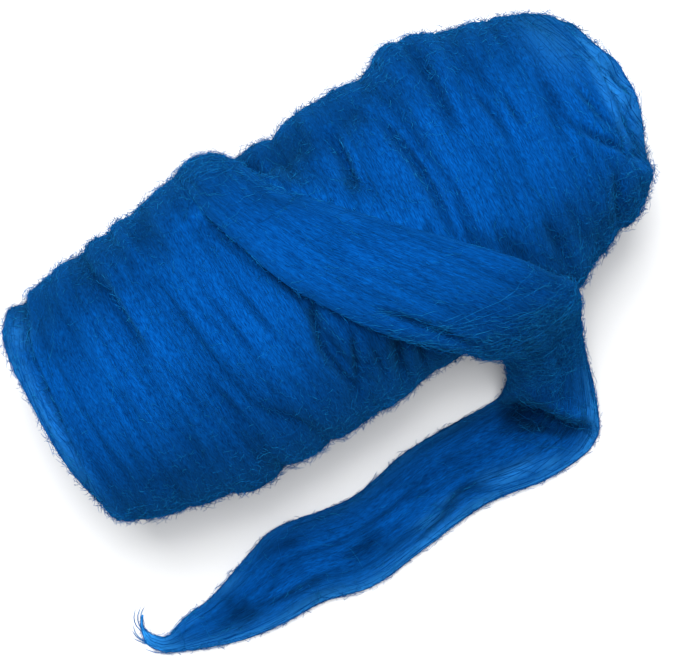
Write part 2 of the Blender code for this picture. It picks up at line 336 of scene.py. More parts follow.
# Half widths of the roll: x, to the back, to the front, and to the top.
ROLL_SECTIONS = np.array([
    (-158.5, 0, 0, 0),
    (-158.8, 12, 12, 12),
    (-159.8, 26, 23, 24),
    (-161, 40, 33, 35),
    (-162, 52, 42.5, 44.5),
    (-162.5, 60.5, 49.5, 53.5),
    (-158.5, 65.5, 56.5, 60.5),
    (-150, 67.5, 62, 64.5),
    (-134, 70, 66.5, 68.5),
    (-112, 74, 71, 72.5),
    (-90, 76.5, 76, 76),
    (-58, 79, 76, 77),
    (-34, 79.5, 75, 76.5),
    (-8, 76, 74.5, 75.5),
    (16, 79, 71, 75),
    (38, 81, 70, 75),
    (62, 79.5, 71, 76),
    (86, 86, 71, 77.5),
    (110, 80, 69, 74.5),
    (128, 75, 60.5, 69),
    (145, 69.5, 56.5, 65),
    (157, 66, 51, 59.5),
    (166, 61.5, 43, 51.5),
    (174, 53.5, 27.5, 41),
    (179.5, 40, 12, 29),
    (180.5, 24, 8.5, 17),
    (178, 10, 6, 9),
    (177.5, 0, 0, 0),
])
# The rows between the two end faces, where x only grows.
BODY_ROWS = slice(5, -4)

# The main turns: x over the top, width, height, and how far the turn leans along the axis at the sides.
TURNS = np.array([
    (-156, 25, 3, -8),
    (-137, 32, 2.6, -3),
    (-116, 27, 3, 2),
    (-92, 30, 4, 6),
    (-71, 27, 3, 15),
    (-50, 27, 3.8, 18),
    (-29, 25, 2.6, 9),
    (-5, 32, 3.4, 3),
    (21, 32, 2.4, -8),
    (45, 27, 3, -9),
    (61, 19, 2.2, -6),
    (75, 18, 4.2, -6),
    (89, 21, 4.6, -10),
    (104, 22, 3.4, -9),
    (120, 23, 3.8, -7),
    (138, 25, 3.2, -9),
    (154, 21, 3.6, 6),
    (168, 20, 2.6, 12),
])
MOST_LIFT = 4.6
QUIET_TOP = 0.5
WANDER = 2.5
WANDER_REACH = 21.0

# Dips between turns: x, degrees from the top, reach along the axis, reach in degrees, and depth.
DIPS = (
    (3, -48, 9, 16, 5),
    (34, -36, 8, 20, 3.5),
    (69, -12, 3, 36, 4.5),
    (-104, -26, 3, 26, 3.5),
    (-18, 32, 3, 20, 4.5),
    (165, 24, 4, 22, 4),
)
RING_PITCH = 17.0
RING_LIFT = 2.2

PROFILE_STEPS = np.hypot(np.diff(ROLL_SECTIONS[:, 0]), np.diff(ROLL_SECTIONS[:, 1:3].mean(axis=1)))
PROFILE = np.concatenate([[0], np.cumsum(PROFILE_STEPS)])
print("the profile is", round(PROFILE[-1]), "mm long, from hollow to hollow")


# %% Heights of the turns, dips and rings
def turn_flow(x, angle):
    """How far a fibre at x over the top moves along the axis by the time it reaches the angle.

    lean * sin(angle) + wander * sin(2 * angle + x / 21 mm).
    """
    lean = np.interp(x, TURNS[:, 0], TURNS[:, 3])
    return lean * np.sin(angle) + WANDER * np.sin(2 * angle + x / WANDER_REACH)


def turn_relief(x, angle):
    """The height of the main turns: each is a lens across its width, and the highest one shows.

    Over the top the turns are pulled tight, so their height is times 1 - quiet * cos(angle)^2 there.
    """
    relief = np.zeros(np.broadcast(x, angle).shape)
    for place, width, lift, _ in TURNS:
        across = (x - place - turn_flow(place, angle)) / (width / 2)
        relief = np.maximum(relief, lift * np.sqrt(np.clip(1 - across**2, 0, 1)))
    return relief * (1 - QUIET_TOP * np.clip(np.cos(angle), 0, 1) ** 2)


def dip_relief(x, angle):
    """The depth of the dips between turns: a hump along the axis times a hump round it."""
    relief = np.zeros(np.broadcast(x, angle).shape)
    for place, degrees, along, round_, depth in DIPS:
        turned = (np.degrees(angle) - degrees + 180) % 360 - 180
        relief -= depth * hump(x - place, 2 * along) * hump(turned, 2 * round_)
    return relief


def ring_relief(length, angle):
    """A spiral of folded turns on the end faces, one ring further out with each time round."""
    return RING_LIFT * np.abs(np.cos(np.pi * (length / RING_PITCH + angle / (2 * np.pi))))


# %% Creases of the roll
# On the upper side: x at the back end, halfway and at the front end, y at both ends, width, depth, lip.
CREASES = (
    (-101, -99.5, -98, 60, 2, 3.2, 5.5, 1.5),
    (-110, -107, -104, 100, 42, 5.5, 4, 0),
    (-83, -81, -78, 82, 40, 3, -3, 0),
    (-93, -91, -88, 104, 52, 4.5, 3.5, 0),
    (-72, -68, -64, 80, 40, 7, 3, 0),
    (-149.5, -153, -161.5, 68, -48, 2.2, 4.2, 1.4),
    (-142.5, -146.5, -151, 90, 40, 3.6, 6.2, 0.4),
    (-152.5, -156.5, -159.5, 84, 24, 4.5, -1.4, 0),
    (-138, -137, -136, 68, 42, 8, 2.5, 0),
    (-120, -119, -118, 10, -32, 4, 2, 0.5),
    (-68, -63, -57, 32, -16, 2, 1.5, 0.8),
    (-60, -55, -51, 28, -34, 2.2, 2, 0.8),
    (-46, -42, -38, 26, -22, 2.2, 2, 0.8),
    (-46, -43, -38, -26, -58, 3, 1.5, 0.4),
    (-92, -90, -88, 0, -40, 3, 1.6, 0.6),
    (-80, -76, -72, -10, -52, 3, 1.6, 0.6),
    (-11, -21.5, -16, -5, -62, 2.8, 7, 1.5),
    (-5, -10.5, -17, -30, -64, 2.2, 5.5, 1),
    (13, 10, 7, -42, -70, 4.5, 6, 0),
    (0, -1, -3, -38, -68, 2.5, 2.5, 0.5),
    (24, 21, 18, -48, -70, 3, 4, 0),
    (-12, -5, 0, 78, 46, 5.2, 7, 1),
    (12, 14, 16, 82, 56, 6, 4, 0),
    (24, 22, 20, 80, 52, 5, 3, 0),
    (37, 34.5, 31, 66, 24, 3.6, 7.7, 1.5),
    (47, 50, 53, 80, 52, 8, 3, 0),
    (58, 64, 59.5, 62, -26, 3.4, 9.1, 2),
    (96, 92, 89.5, 82, 24, 5.2, 6.3, 1),
    (76, 73.5, 72, 28, -26, 2, 2.2, 1),
    (93, 92, 91, 28, -2, 2.5, 1.4, 0.5),
    (104, 109, 110, 52, 6, 3, 2.8, 1),
    (119.5, 119, 118.5, 36, 12, 2.4, 3.2, 1),
    (140, 138.5, 135, 42, -7, 5.2, 5.3, 1),
    (152, 156, 161, 24, -16, 2.2, 3, 1),
    (84, 85, 86, -18, -54, 5, 2.8, 0),
    (105, 106, 107, -30, -60, 4.2, 3.4, 0.4),
    (119, 120, 121, -26, -56, 5, 2.4, 0),
    (150, 146, 140, -28, -60, 4.4, 4, 0.6),
    (164, 162, 160.5, -6, -28, 2.5, 3.5, 1),
)
CREASE_FADE = 1.2
LIP_SPREAD = 6
STEEP_SIDE = 0.55
GENTLE_SIDE = 1.25

# Bent lines seen from above: width, depth, lip, and the places that they go through.
ROLL_LINES = (
    (4, 2.6, 0, ((175.5, 20), (176, 11), (175, 3))),
    (1.9, -3.4, 0, ((172.5, 30), (170.4, 12.4), (171.5, 3.2), (174.7, -4), (175, -11), (171, -25))),
    (1.9, -2.6, 0, ((169.5, 32), (164.8, 10), (163.9, -6.3), (162.3, -24))),
    (1.7, 3.2, 0, ((169.5, 24), (167.4, 8), (168, -4), (168, -18))),
    (3.5, -3, 0, ((172, 36), (179, 22), (181, 8), (179, -6))),
    (6, -4, 0, ((160, -40), (166, -36), (174, -33))),
    (1.9, 3.6, 0.8, ((137, 9), (149, -10.5), (157, -20), (167, -30))),
)
# Shoulders beside the loose end, where it leaves the turns without a step: width, and places as x and
# degrees.
SHOULDERS = (
    (20, ((-12, -50), (-2.5, -36), (17.5, -19), (38, -3), (52, 7))),
    (26, ((-44, -124), (-46, -108), (-49, -84), (-45, -58), (-40, -40))),
)
SHOULDER_HEIGHT = 6.0
SHOULDER_ARC = 78.0
SHOULDER_FADE = 6.0


def trough(off, depth, lip, part):
    """A trough with raised lips: lip * exp(-off / 6) - (depth + lip) * exp(-off), fading at both ends."""
    shape = lip * np.exp(-off / LIP_SPREAD) - (depth + lip) * np.exp(-off)
    return shape * np.clip(np.sin(np.pi * part), 0, 1) ** CREASE_FADE


def crease_relief(x, y):
    """The depth of the creases at places seen from above.

    A crease's line is a parabola through its three places. It is steep on the side of larger x, where the
    next turn lies over it, and gentle on the other side.
    """
    relief = np.zeros(np.broadcast(x, y).shape)
    for x_back, x_half, x_front, y_back, y_front, width, depth, lip in CREASES:
        part = np.clip((y_back - y) / (y_back - y_front), 0, 1)
        line = x_back * (1 - part) * (1 - 2 * part) + 4 * x_half * part * (1 - part)
        line = line + x_front * part * (2 * part - 1)
        off = ((x - line) / np.where(x > line, STEEP_SIDE * width, GENTLE_SIDE * width)) ** 2
        relief += trough(off, depth, lip, part)
    return relief


def line_place(x, y, places):
    """The distance from a bent line, and how far along it the nearest place is, from 0 to 1."""
    places = np.array(places)
    steps = np.hypot(*np.diff(places, axis=0).T)
    run = np.concatenate([[0], np.cumsum(steps)]) / steps.sum()
    away = np.full(np.broadcast(x, y).shape, np.inf)
    part = np.zeros(away.shape)
    for start, step, low, high in zip(places[:-1], np.diff(places, axis=0), run[:-1], run[1:]):
        at = np.clip(((x - start[0]) * step[0] + (y - start[1]) * step[1]) / (step @ step), 0, 1)
        off = np.hypot(x - start[0] - at * step[0], y - start[1] - at * step[1])
        part = np.where(off < away, low + (high - low) * at, part)
        away = np.minimum(away, off)
    return away, part


def line_relief(x, y, lines):
    """Troughs along bent lines, or ridges where the depth is below zero. off = (distance / width)^2."""
    relief = np.zeros(np.broadcast(x, y).shape)
    for width, depth, lip, places in lines:
        away, part = line_place(x, y, places)
        relief += trough((away / width) ** 2, depth, lip, part)
    return relief


def shoulder_weight(x, angle):
    """1 on the loose end's edge where it merges with the turns, falling to 0 beside it and at both ends."""
    weight = np.zeros(np.broadcast(x, angle).shape)
    for width, places in SHOULDERS:
        line = [(place, math.radians(degrees) * SHOULDER_ARC) for place, degrees in places]
        away, part = line_place(x, angle * SHOULDER_ARC, line)
        weight = np.maximum(weight, hump(away, width) * np.clip(SHOULDER_FADE * np.sin(np.pi * part), 0, 1))
    return weight


# %% Locks of fibre within the turns
# Widths in mm, locks round the roll, heights and seeds, and how dark the painted shade in the valley beside
# each kind is.
ROLL_LOCKS = (
    (30, 3, 1.5, 14),
    (13, 4, 0.8, 11),
    (6.5, 5, 0.3, 12),
    (3.2, 6, 0.15, 13),
)
ROLL_VALLEY_SHADE = (0.16, 0.20, 0.18, 0.12)
VALLEY_REACH = 0.1
LOCK_MEAN = 0.6


def roll_locks(length, x, angle):
    """For each row of the table of locks, soft random heights that are stretched along the fibres."""
    across, turn = length - turn_flow(x, angle), angle / (2 * np.pi)
    return [soft_noise(across / width, turn * cells, seed, cells) for width, cells, _, seed in ROLL_LOCKS]


def lock_relief(heights, locks):
    """Locks of fibre, wide ones first, with a sharp line between two: lift * (sqrt(|height|) - 0.6).

    So each lock has a rounded crest, and a narrow valley where the soft height goes through 0.
    """
    return sum(one[2] * (np.sqrt(np.abs(height)) - LOCK_MEAN) for height, one in zip(heights, locks))


def valley_light(heights, darks):
    """The painted shade in the valleys between locks, as the light left: 1 - dark * exp(-(height / 0.1)^2) for
    each kind.
    """
    share = np.ones(heights[0].shape)
    for height, dark in zip(heights, darks):
        share *= 1 - dark * np.exp(-((height / VALLEY_REACH) ** 2))
    return share


# %% The roll as a surface
SLOPE_STEP = 0.5


def ellipse_radius(back, front, top, angle):
    """The roll's radius at an angle: one ellipse to the loose end's side and one to the back."""
    side = np.where(np.sin(angle) > 0, front, back)
    side, top = np.maximum(side, 1e-6), np.maximum(top, 1e-6)
    return 1 / np.hypot(np.sin(angle) / side, np.cos(angle) / top)


def roll_surface(length, angle):
    """Points of the roll at lengths along its profile and angles round its axis, 0 at the top.

    The heights stand square to the profile, and fade out towards the middle of each hollow. The creases
    fade out down the sides by 2 cos(angle) + 1/2, and the floor cuts the underside flat.
    """
    x, back, front, top = np.moveaxis(through(PROFILE, ROLL_SECTIONS, length), -1, 0)
    ahead = through(PROFILE, ROLL_SECTIONS, np.minimum(length + SLOPE_STEP, PROFILE[-1]))
    behind = through(PROFILE, ROLL_SECTIONS, np.maximum(length - SLOPE_STEP, 0))
    rise_x = ahead[..., 0] - behind[..., 0]
    rise_r = ahead[..., 3] - behind[..., 3]
    steep = np.hypot(rise_x, rise_r)
    facing = np.clip(rise_x / steep, 0, 1)
    radius = ellipse_radius(back, front, top, angle)
    y = -radius * np.sin(angle)
    upper = np.clip(2 * np.cos(angle) + 0.5, 0, 1)
    relief = facing * (turn_relief(x, angle) + dip_relief(x, angle))
    relief = relief + (1 - facing**2) * ring_relief(length, angle)
    relief = relief + upper * (crease_relief(x, y) + line_relief(x, y, ROLL_LINES))
    relief = relief + lock_relief(roll_locks(length, x, angle), ROLL_LOCKS)
    relief = relief + (SHOULDER_HEIGHT - relief) * shoulder_weight(x, angle)
    from_tip = np.minimum(length, PROFILE[-1] - length)
    relief = relief * np.clip(from_tip / RING_PITCH, 0, 1)
    radius = radius + relief * rise_x / steep
    x = x - relief * rise_r / steep
    z = np.maximum(AXIS_HEIGHT + radius * np.cos(angle), 0)
    return np.stack([x, -radius * np.sin(angle), z], axis=-1)


def roll_reach(x, angle):
    """The radius that the crests of the turns reach at a place along the axis."""
    rows = ROLL_SECTIONS[BODY_ROWS]
    _, back, front, top = np.moveaxis(through(rows[:, 0], rows, np.clip(x, rows[0, 0], rows[-1, 0])), -1, 0)
    return ellipse_radius(back, front, top, angle) + MOST_LIFT


# %% A closed skin over rings of points
TIP_MAP = 0.001


def skin(rings, tips):
    """Points, faces and corner maps of a closed skin: rings joined by quads, closed by a fan at each tip.

    The map's first number runs round the rings from 0 to 1 and its second from the first ring to the last.
    """
    count, around = rings.shape[:2]
    points = np.concatenate([rings.reshape(-1, 3), tips])
    edge = np.arange(around)
    beyond = (edge + 1) % around
    start = around * np.arange(count - 1)[:, None]
    after = start + around
    quads = np.stack([start + edge, start + beyond, after + beyond, after + edge], axis=-1)
    far = (count - 1) * around
    first = np.stack([np.full(around, count * around), beyond, edge], axis=1)
    last = np.stack([np.full(around, count * around + 1), far + edge, far + beyond], axis=1)
    ring, place = np.meshgrid(np.arange(count - 1), edge, indexing="ij")
    across = np.stack([place, place + 1, place + 1, place], axis=-1) / around
    down = np.stack([ring, ring, ring + 1, ring + 1], axis=-1) / (count - 1)
    fan_across = np.stack([edge + 0.5, edge + 1, edge], axis=1) / around
    fan_down = np.tile([0, TIP_MAP, TIP_MAP], (around, 1))
    maps = [
        np.stack([across, down], axis=-1),
        np.stack([fan_across, fan_down], axis=-1),
        np.stack([fan_across[:, [0, 2, 1]], 1 - fan_down], axis=-1),
    ]
    return points, [quads.reshape(-1, 4), first, last], maps


# %% [markdown]
# ### Painted light and shade on a skin
#
# Deep folds of wool hold many more fibres than a mesh can, and little light comes back out of them. So each
# skin's painted shade is worked out from three things: how steeply its fibres climb, how far each point lies
# below its neighbours, and tables of painted shadows at places and along lines where layers of wool meet.

# %% Painted shade and painted light by place
# Painted shade at deep places where little light gets in, and where the loose end throws its shadow on the
# roll: x, y, reach along x, reach along y, and how dark. A place painted lighter, as where more light falls,
# has a number below zero.
ROLL_PAINTED_SHADE = (
    (-14, -34, 16, 18, 0.35),
    (6, -52, 18, 14, 0.40),
    (26, -66, 16, 12, 0.35),
    (86, -36, 11, 12, 0.28),
    (106, -46, 13, 13, 0.25),
    (122, -40, 12, 13, 0.15),
    (148, -44, 16, 12, 0.12),
    (-150, 50, 10, 12, 0.05),
    (-152, -54, 16, 12, -0.25),
    (-89, -24, 14, 14, 0.20),
    (-34, -56, 14, 12, 0.14),
    (98, -2, 14, 16, 0.16),
    (140, 46, 24, 14, 0.12),
    (-104, 56, 9, 12, 0.30),
    (-128, 52, 12, 12, 0.22),
    (-70, 62, 10, 12, 0.20),
    (-6, 66, 10, 8, 0.28),
    (14, 64, 9, 10, 0.30),
    (27, 62, 8, 10, 0.28),
    (48, 62, 7, 12, 0.20),
    (90, 68, 8, 14, 0.28),
    (-90, -52, 60, 20, 0.18),
    (176.5, 9, 3.2, 9, 0.46),
    (167.5, 2, 2.2, 14, 0.30),
    (-152, -24, 28, 50, 0.08),
    (-60, -10, 40, 30, 0.04),
)
# Painted shadows along lines where two layers meet: width, how dark, and the places that they go through.
ROLL_CONTACT_SHADOWS = (
    (3.2, 0.45, ((-41, 62), (-40, 46), (-34, 27), (-25, 5), (-14, -13), (2, -34))),
    (3, 0.30, ((-2, -29), (18, -51), (34, -63), (44, -70))),
    (3, 0.30, ((60, -11), (78, -30), (94, -46), (105, -56))),
)
# Painted light where the wool is thin and light comes through it, and painted highlights along pale ridges, in
# the same columns.
ROLL_PAINTED_LIGHT_SPOTS = (
    (174, 14, 8, 30, 0.24),
    (-162, 14, 6, 55, 0.26),
    (-156, 52, 8, 10, 0.20),
    (158, 46, 14, 22, 0.14),
    (176, -18, 7, 16, 0.20),
    (176, -26, 12, 12, 0.08),
)
ROLL_HIGHLIGHT_RIDGES = (
    (2.6, 0.36, ((170, 44), (172.5, 30), (170.4, 12.4), (171.5, 3.2), (175, -5), (175, -14))),
    (2.4, 0.34, ((170, 44), (177.5, 28), (181, 12), (180, 0), (177, -12))),
    (2.4, 0.22, ((168, 40), (164.8, 10), (163.9, -6.3), (162.3, -24))),
    (2.4, 0.22, ((170, -20), (177, -28), (180, -38))),
)
# The same painted shade, painted shadows and painted light for the loose end.
LOOSE_PAINTED_SHADE = (
    (54, -120, 11, 7, 0.80),
    (62, -124, 10, 8, 0.52),
    (65, -134, 8, 6, 0.45),
    (54, -131, 9, 6, 0.45),
    (46, -124, 8, 5, 0.30),
    (76, -144, 8, 4.5, 0.72),
    (68, -112, 8, 8, -0.25),
    (82, -132, 8, 8, -0.25),
    (24, -109, 18, 5, 0.62),
    (39, -113, 10, 5, 0.30),
    (-4, -109, 22, 5, 0.36),
    (-34, -115, 20, 5, 0.28),
    (-64, -116, 18, 5, 0.28),
    (-98, -113, 14, 5, 0.20),
    (-58, -143, 14, 6, 0.50),
    (-96, -146, 22, 2.5, 0.16),
    (-94, -120, 16, 4, 0.18),
    (-66, -140, 7, 4, 0.12),
    (-15, -132, 8, 1.7, 0.45),
    (-138, -125, 8, 5, 0.12),
    (-168, -130, 12, 6, -0.20),
    (-104, -140, 12, 3, -0.15),
    (-29, -127, 12, 5, -0.20),
    (-12, -143, 22, 6, -0.25),
    (52, -143, 14, 6, -0.20),
    (-141, -139, 11, 6, 0.50),
    (-150, -141, 10, 4, 0.30),
    (-131, -144.5, 9, 3.5, 0.45),
    (-143, -131, 5, 6, 0.30),
    (78, -70, 18, 12, 0.10),
    (-40, -137, 120, 30, 0.08),
    (-98, -152.5, 18, 4.5, 0.40),
)
LOOSE_CONTACT_SHADOWS = (
    (1.4, 0.42, ((10, -27), (20, -40), (28.5, -50), (38, -61), (48, -72))),
    (1.7, 0.50, ((20, -149), (12.5, -143.5), (4.5, -141.5), (-8.5, -147.5), (-22, -152.5), (-32, -156))),
)
LOOSE_PAINTED_LIGHT_SPOTS = (
    (34, -149, 16, 5.5, 0.30),
    (22, -142, 9, 4, 0.16),
    (54, -155, 10, 6, 0.25),
    (-141, -121, 12, 5, 0.22),
    (-168, -127, 10, 5, 0.20),
    (-20, -148, 10, 4, 0.26),
    (-6, -143, 9, 3.5, 0.14),
)

# %% Normals, hollows and the shade of a skin
# Painted shade: darker where the fibres climb and in hollows, and painted lighter on crests.
STEEP_SHADE = 0.52
HOLLOW_SHADE = 0.32
HOLLOW_DEPTH = 1.6
MOST_CREST = 0.4
STRIPE_FADE = 0.5
ON_TABLE = 0.5


def facing_out(rings):
    """Unit normals of rings of points whose last column meets the first."""
    across = np.roll(rings, -1, axis=1) - np.roll(rings, 1, axis=1)
    normal = np.cross(across, np.gradient(rings, axis=0))
    return normal / np.maximum(np.linalg.norm(normal, axis=-1, keepdims=True), 1e-9)


def blurred(rings, down, around):
    """The mean of the points up to so many rows and columns away, as a difference of running sums."""
    for axis, reach, mode in ((0, down, "edge"), (1, around, "wrap")):
        pad = [(0, 0)] * rings.ndim
        pad[axis] = (reach + 1, reach)
        total = np.cumsum(np.pad(rings, pad, mode=mode), axis=axis)
        first = np.arange(rings.shape[axis])
        count = 2 * reach + 1
        rings = (np.take(total, first + count, axis=axis) - np.take(total, first, axis=axis)) / count
    return rings


def hollow_depth(rings, normals, down, around):
    """How deep each point lies below the blurred skin, in mm. On a crest it is below zero."""
    return ((blurred(rings, down, around) - rings) * normals).sum(axis=-1)


def climb(rings, axis):
    """The rise of the fibres, which run along one axis of the grid: 1 is straight up."""
    run = np.roll(rings, -1, axis=1) - np.roll(rings, 1, axis=1) if axis else np.gradient(rings, axis=0)
    return run[..., 2] / np.maximum(np.linalg.norm(run, axis=-1), 1e-9)


def wool_shade(rise, hollow):
    """The painted shade of wool: less where the fibre climbs, by its rise squared, and less in a hollow."""
    hollow = np.clip(hollow / HOLLOW_DEPTH, -MOST_CREST, 1)
    return np.clip((1 - STEEP_SHADE * rise**2) * (1 - HOLLOW_SHADE * hollow), LEAST_SHADE, MOST_SHADE)


def spots(rings, places):
    """Soft round spots seen from above, one for each row of a table: most * exp(-(distance / reach)^2)."""
    found = []
    for x, y, reach_x, reach_y, most in places:
        off = ((rings[..., 0] - x) / reach_x) ** 2 + ((rings[..., 1] - y) / reach_y) ** 2
        found.append(most * np.exp(-off))
    return found


def stripes(rings, lines):
    """Soft stripes along bent lines seen from above: most * exp(-(distance / width)^2), less at the ends."""
    found = []
    for width, most, places in lines:
        away, part = line_place(rings[..., 0], rings[..., 1], places)
        fade = np.clip(np.sin(np.pi * part), 0, 1) ** STRIPE_FADE
        found.append(most * np.exp(-((away / width) ** 2)) * fade)
    return found


def light_left(rings, marks):
    """The share of light that all the painted marks leave: the product of 1 - mark, for all points off the
    table.
    """
    share = np.ones(rings.shape[:2])
    for mark in marks:
        share *= 1 - mark * (rings[..., 2] > ON_TABLE)
    return share


def with_tips(numbers):
    """One number for each point of a skin: those of the grid, then the mean of each end ring for its tip."""
    return np.append(numbers.ravel(), [numbers[0].mean(), numbers[-1].mean()])


# %% [markdown]
# ### The roll's skin
#
# The grid is fine enough for locks of 3 mm. It is closed at the middle of each hollow, and it replaces the
# plain solid, which is hidden.

# %% Make the roll's skin
ROLL_RINGS = 396
ROLL_AROUND = 240

roll_wool = wool_finish(
    "roll_wool", streaks=((6, 90, 3), (130, 800, 2)), colours=SKIN_COLOURS, crimp=(170, 140, 0.0032)
)
roll_length = np.linspace(0, PROFILE[-1], ROLL_RINGS + 2)[1:-1]
roll_angle = np.linspace(-np.pi, np.pi, ROLL_AROUND, endpoint=False)
roll_rings = roll_surface(roll_length[:, None], roll_angle[None, :])
roll_normals = facing_out(roll_rings)
roll_hollows = hollow_depth(roll_rings, roll_normals, down=5, around=2)
roll_heights = roll_locks(roll_length[:, None], roll_rings[..., 0], roll_angle[None, :])
# Painted shade of the roll: its steepness, hollows, valleys between locks and painted shadow tables.
roll_shadow_marks = spots(roll_rings, ROLL_PAINTED_SHADE) + stripes(roll_rings, ROLL_CONTACT_SHADOWS)
roll_light = light_left(roll_rings, roll_shadow_marks) * valley_light(roll_heights, ROLL_VALLEY_SHADE)
roll_shade = wool_shade(climb(roll_rings, axis=1), roll_hollows) * roll_light
# Painted highlights on the pale ridges.
roll_ridge_highlights = 1 - light_left(roll_rings, stripes(roll_rings, ROLL_HIGHLIGHT_RIDGES))
# Painted light where light comes through thin wool, together with the ridge highlights.
roll_painted_light = np.maximum.reduce([*spots(roll_rings, ROLL_PAINTED_LIGHT_SPOTS), roll_ridge_highlights])
roll_numbers = ((SHADE_NAME, with_tips(roll_shade)), (PAINTED_LIGHT_NAME, with_tips(roll_painted_light)))
roll_tips = [(ROLL_SECTIONS[end][0], 0.0, AXIS_HEIGHT) for end in (0, -1)]
roll_skin = add_mesh("roll_skin", *skin(roll_rings, roll_tips), roll_wool, roll_numbers)
print("shade of the roll from", roll_shade.min().round(2), "to", roll_shade.max().round(2))
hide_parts("roving_roll")

# %% [markdown]
# ## The loose end
#
# The last turn of the band comes up the back of the roll, crosses the top at a slant, drops over the front
# and meets the table. There it folds over itself in a mitre and runs back beside the roll, thinner and
# thinner, to a hooked wisp.
#
# It is one surface again. Its under side lies between two edges, each a smooth curve through a few known
# points, and its top swells above that. Where it lies on the roll, an edge is given by its place along the
# axis and its angle, so that it can't leave the roll or sink into it.

# %% Edges of the loose end
# On the roll: x and degrees of the left edge, x and degrees of the right edge, and thickness.
WOUND_ROWS = np.array([
    (-37, -128, -31, -128, 1.8),
    (-43, -108, -27, -106, 3),
    (-45, -84, -22, -82, 4),
    (-42.5, -58, -12.5, -58, 6),
    (-39, -38, -2.5, -36, 7),
    (-32, -21, 17.5, -19, 7.5),
    (-23, -4, 38, -3, 7.5),
    (-12, 9.5, 59, 12, 8),
    (3.7, 26, 83, 30, 8.5),
    (19.5, 41, 96.5, 46, 9),
    (35.5, 57, 105.5, 60, 10),
])
# Free of it: x, y and z of the left edge, x, y and z of the right edge, and thickness.
FREE_ROWS = np.array([
    (51, -75, 74, 107, -78.5, 77.5, 11),
    (58, -83, 56, 104.5, -89, 60.5, 12),
    (59, -92, 38, 102, -103, 40, 12),
    (56.5, -100, 21, 99, -122, 21, 13),
    (52, -105, 9, 94.5, -139.5, 9, 13),
    (48, -107.5, 2, 91, -150, 2.5, 6),
    (43.5, -108, 0, 86, -155.5, 0, 5),
    (35, -108, 0, 74, -160.5, 0, 9.5),
    (18, -107.5, 0, 48, -161.5, 0, 13.5),
    (-13, -108, 0, 12, -156.5, 0, 14),
    (-49, -115, 0, -31, -161, 0, 13),
    (-71, -113, 0, -66, -165, 0, 13.5),
    (-100, -108.5, 0, -96, -158.5, 0, 12.5),
    (-124, -115, 0, -122, -158, 0, 11),
    (-150, -124, 0, -148, -154, 0, 8.5),
    (-170, -127, 0, -171, -146.5, 0, 6.5),
    (-183, -131, 0, -187, -139.5, 0, 4.5),
    (-189, -128, 0, -195.8, -130.5, 0, 3),
    (-192.6, -122.8, 0, -195.6, -123.6, 0, 2),
    (-192.4, -118.2, 0, -194.2, -117.8, 0, 1.2),
    (-189.6, -113.6, 0, -190.4, -113.2, 0, 0.6),
])
BAND_GAP = 0.8
SOFTNESS = 2.0
NEAR_ROLL = 30.0


def band_edges():
    """Both edges of the loose end's under side and its thickness, row by row, as 7 columns of numbers."""
    left_x, left_deg, right_x, right_deg, thick = WOUND_ROWS.T
    wound = []
    for x, degrees in ((left_x, left_deg), (right_x, right_deg)):
        angle = np.radians(degrees)
        radius = roll_reach(x, angle) + BAND_GAP
        wound += [x, -radius * np.sin(angle), AXIS_HEIGHT + radius * np.cos(angle)]
    return np.concatenate([np.stack([*wound, thick], axis=1), FREE_ROWS])


def clear_of_roll(points):
    """The points moved out from the roll's axis where they would come nearer than the gap, softly."""
    angle = np.arctan2(-points[..., 1], points[..., 2] - AXIS_HEIGHT)
    radius = np.hypot(points[..., 1], points[..., 2] - AXIS_HEIGHT)
    least = roll_reach(points[..., 0], angle) + BAND_GAP
    moved = (radius + least + np.hypot(radius - least, SOFTNESS)) / 2
    moved = np.where(radius > least + NEAR_ROLL, radius, moved)
    return np.stack([points[..., 0], -moved * np.sin(angle), AXIS_HEIGHT + moved * np.cos(angle)], axis=-1)


# %% Locks and creases of the loose end
# Long folds: from and to which row, place across the band at both, width as a share of the band, height.
LONG_FOLDS = np.array([
    (10, 14.5, 0.52, 0.50, 0.12, 2.4),
    (14.5, 18.5, 0.97, 0.95, 0.10, 6),
    (17, 22, 0.62, 0.80, 0.10, -3.4),
    (17.5, 24, 0.28, 0.44, 0.10, -3),
    (20, 26, 0.66, 0.60, 0.14, 2.2),
])
FOLD_FADE = 0.7

# Locks: width and length in mm, height and seed, and how dark the painted shade in the valley beside each kind
# is.
BAND_LOCKS = (
    (18, 110, 1.3, 24),
    (9, 80, 0.6, 21),
    (4.5, 55, 0.25, 22),
    (2.4, 35, 0.12, 23),
)
BAND_VALLEY_SHADE = (0.14, 0.16, 0.16, 0.12)
LOOSE_FROM = 16.0

# Bent lines seen from above, in the columns of the roll's lines.
BAND_LINES = (
    (5.5, 9, 0, ((44, -112), (53, -118), (61, -127), (69, -138), (76, -145))),
    (4, -3, 0, ((57, -104), (66, -119), (77, -133), (88, -143), (92, -150))),
    (2.4, -2, 0, ((70, -150), (62, -138), (48, -130), (30, -127))),
    (2, 4, 0.9, ((10, -27), (20, -40), (28.5, -50), (38, -61), (48, -72))),
    (2.5, 2.5, 0.5, ((-8, -130), (-18, -131), (-28, -131.5))),
    (3, 5.5, 1, ((22, -151.5), (10, -145.5), (0, -144.5), (-12, -150), (-26, -154.5), (-40, -157))),
    (3, 2.5, 0.6, ((-44, -138), (-54, -137.5), (-64, -137.5))),
    (6, 3.5, 0, ((-74, -143), (-60, -143.5), (-46, -143))),
    (3, 2.5, 0.6, ((-55, -118), (-81, -113.5), (-103, -112.4))),
    (2.5, 2.8, 0.6, ((-84, -120), (-98, -119.5), (-111, -119))),
    (2.5, 3.5, 0.8, ((-76, -145), (-96, -145), (-114, -144.5), (-128, -142), (-142, -141))),
    (7, 3, 0, ((-147, -141), (-139, -141), (-131, -141))),
)


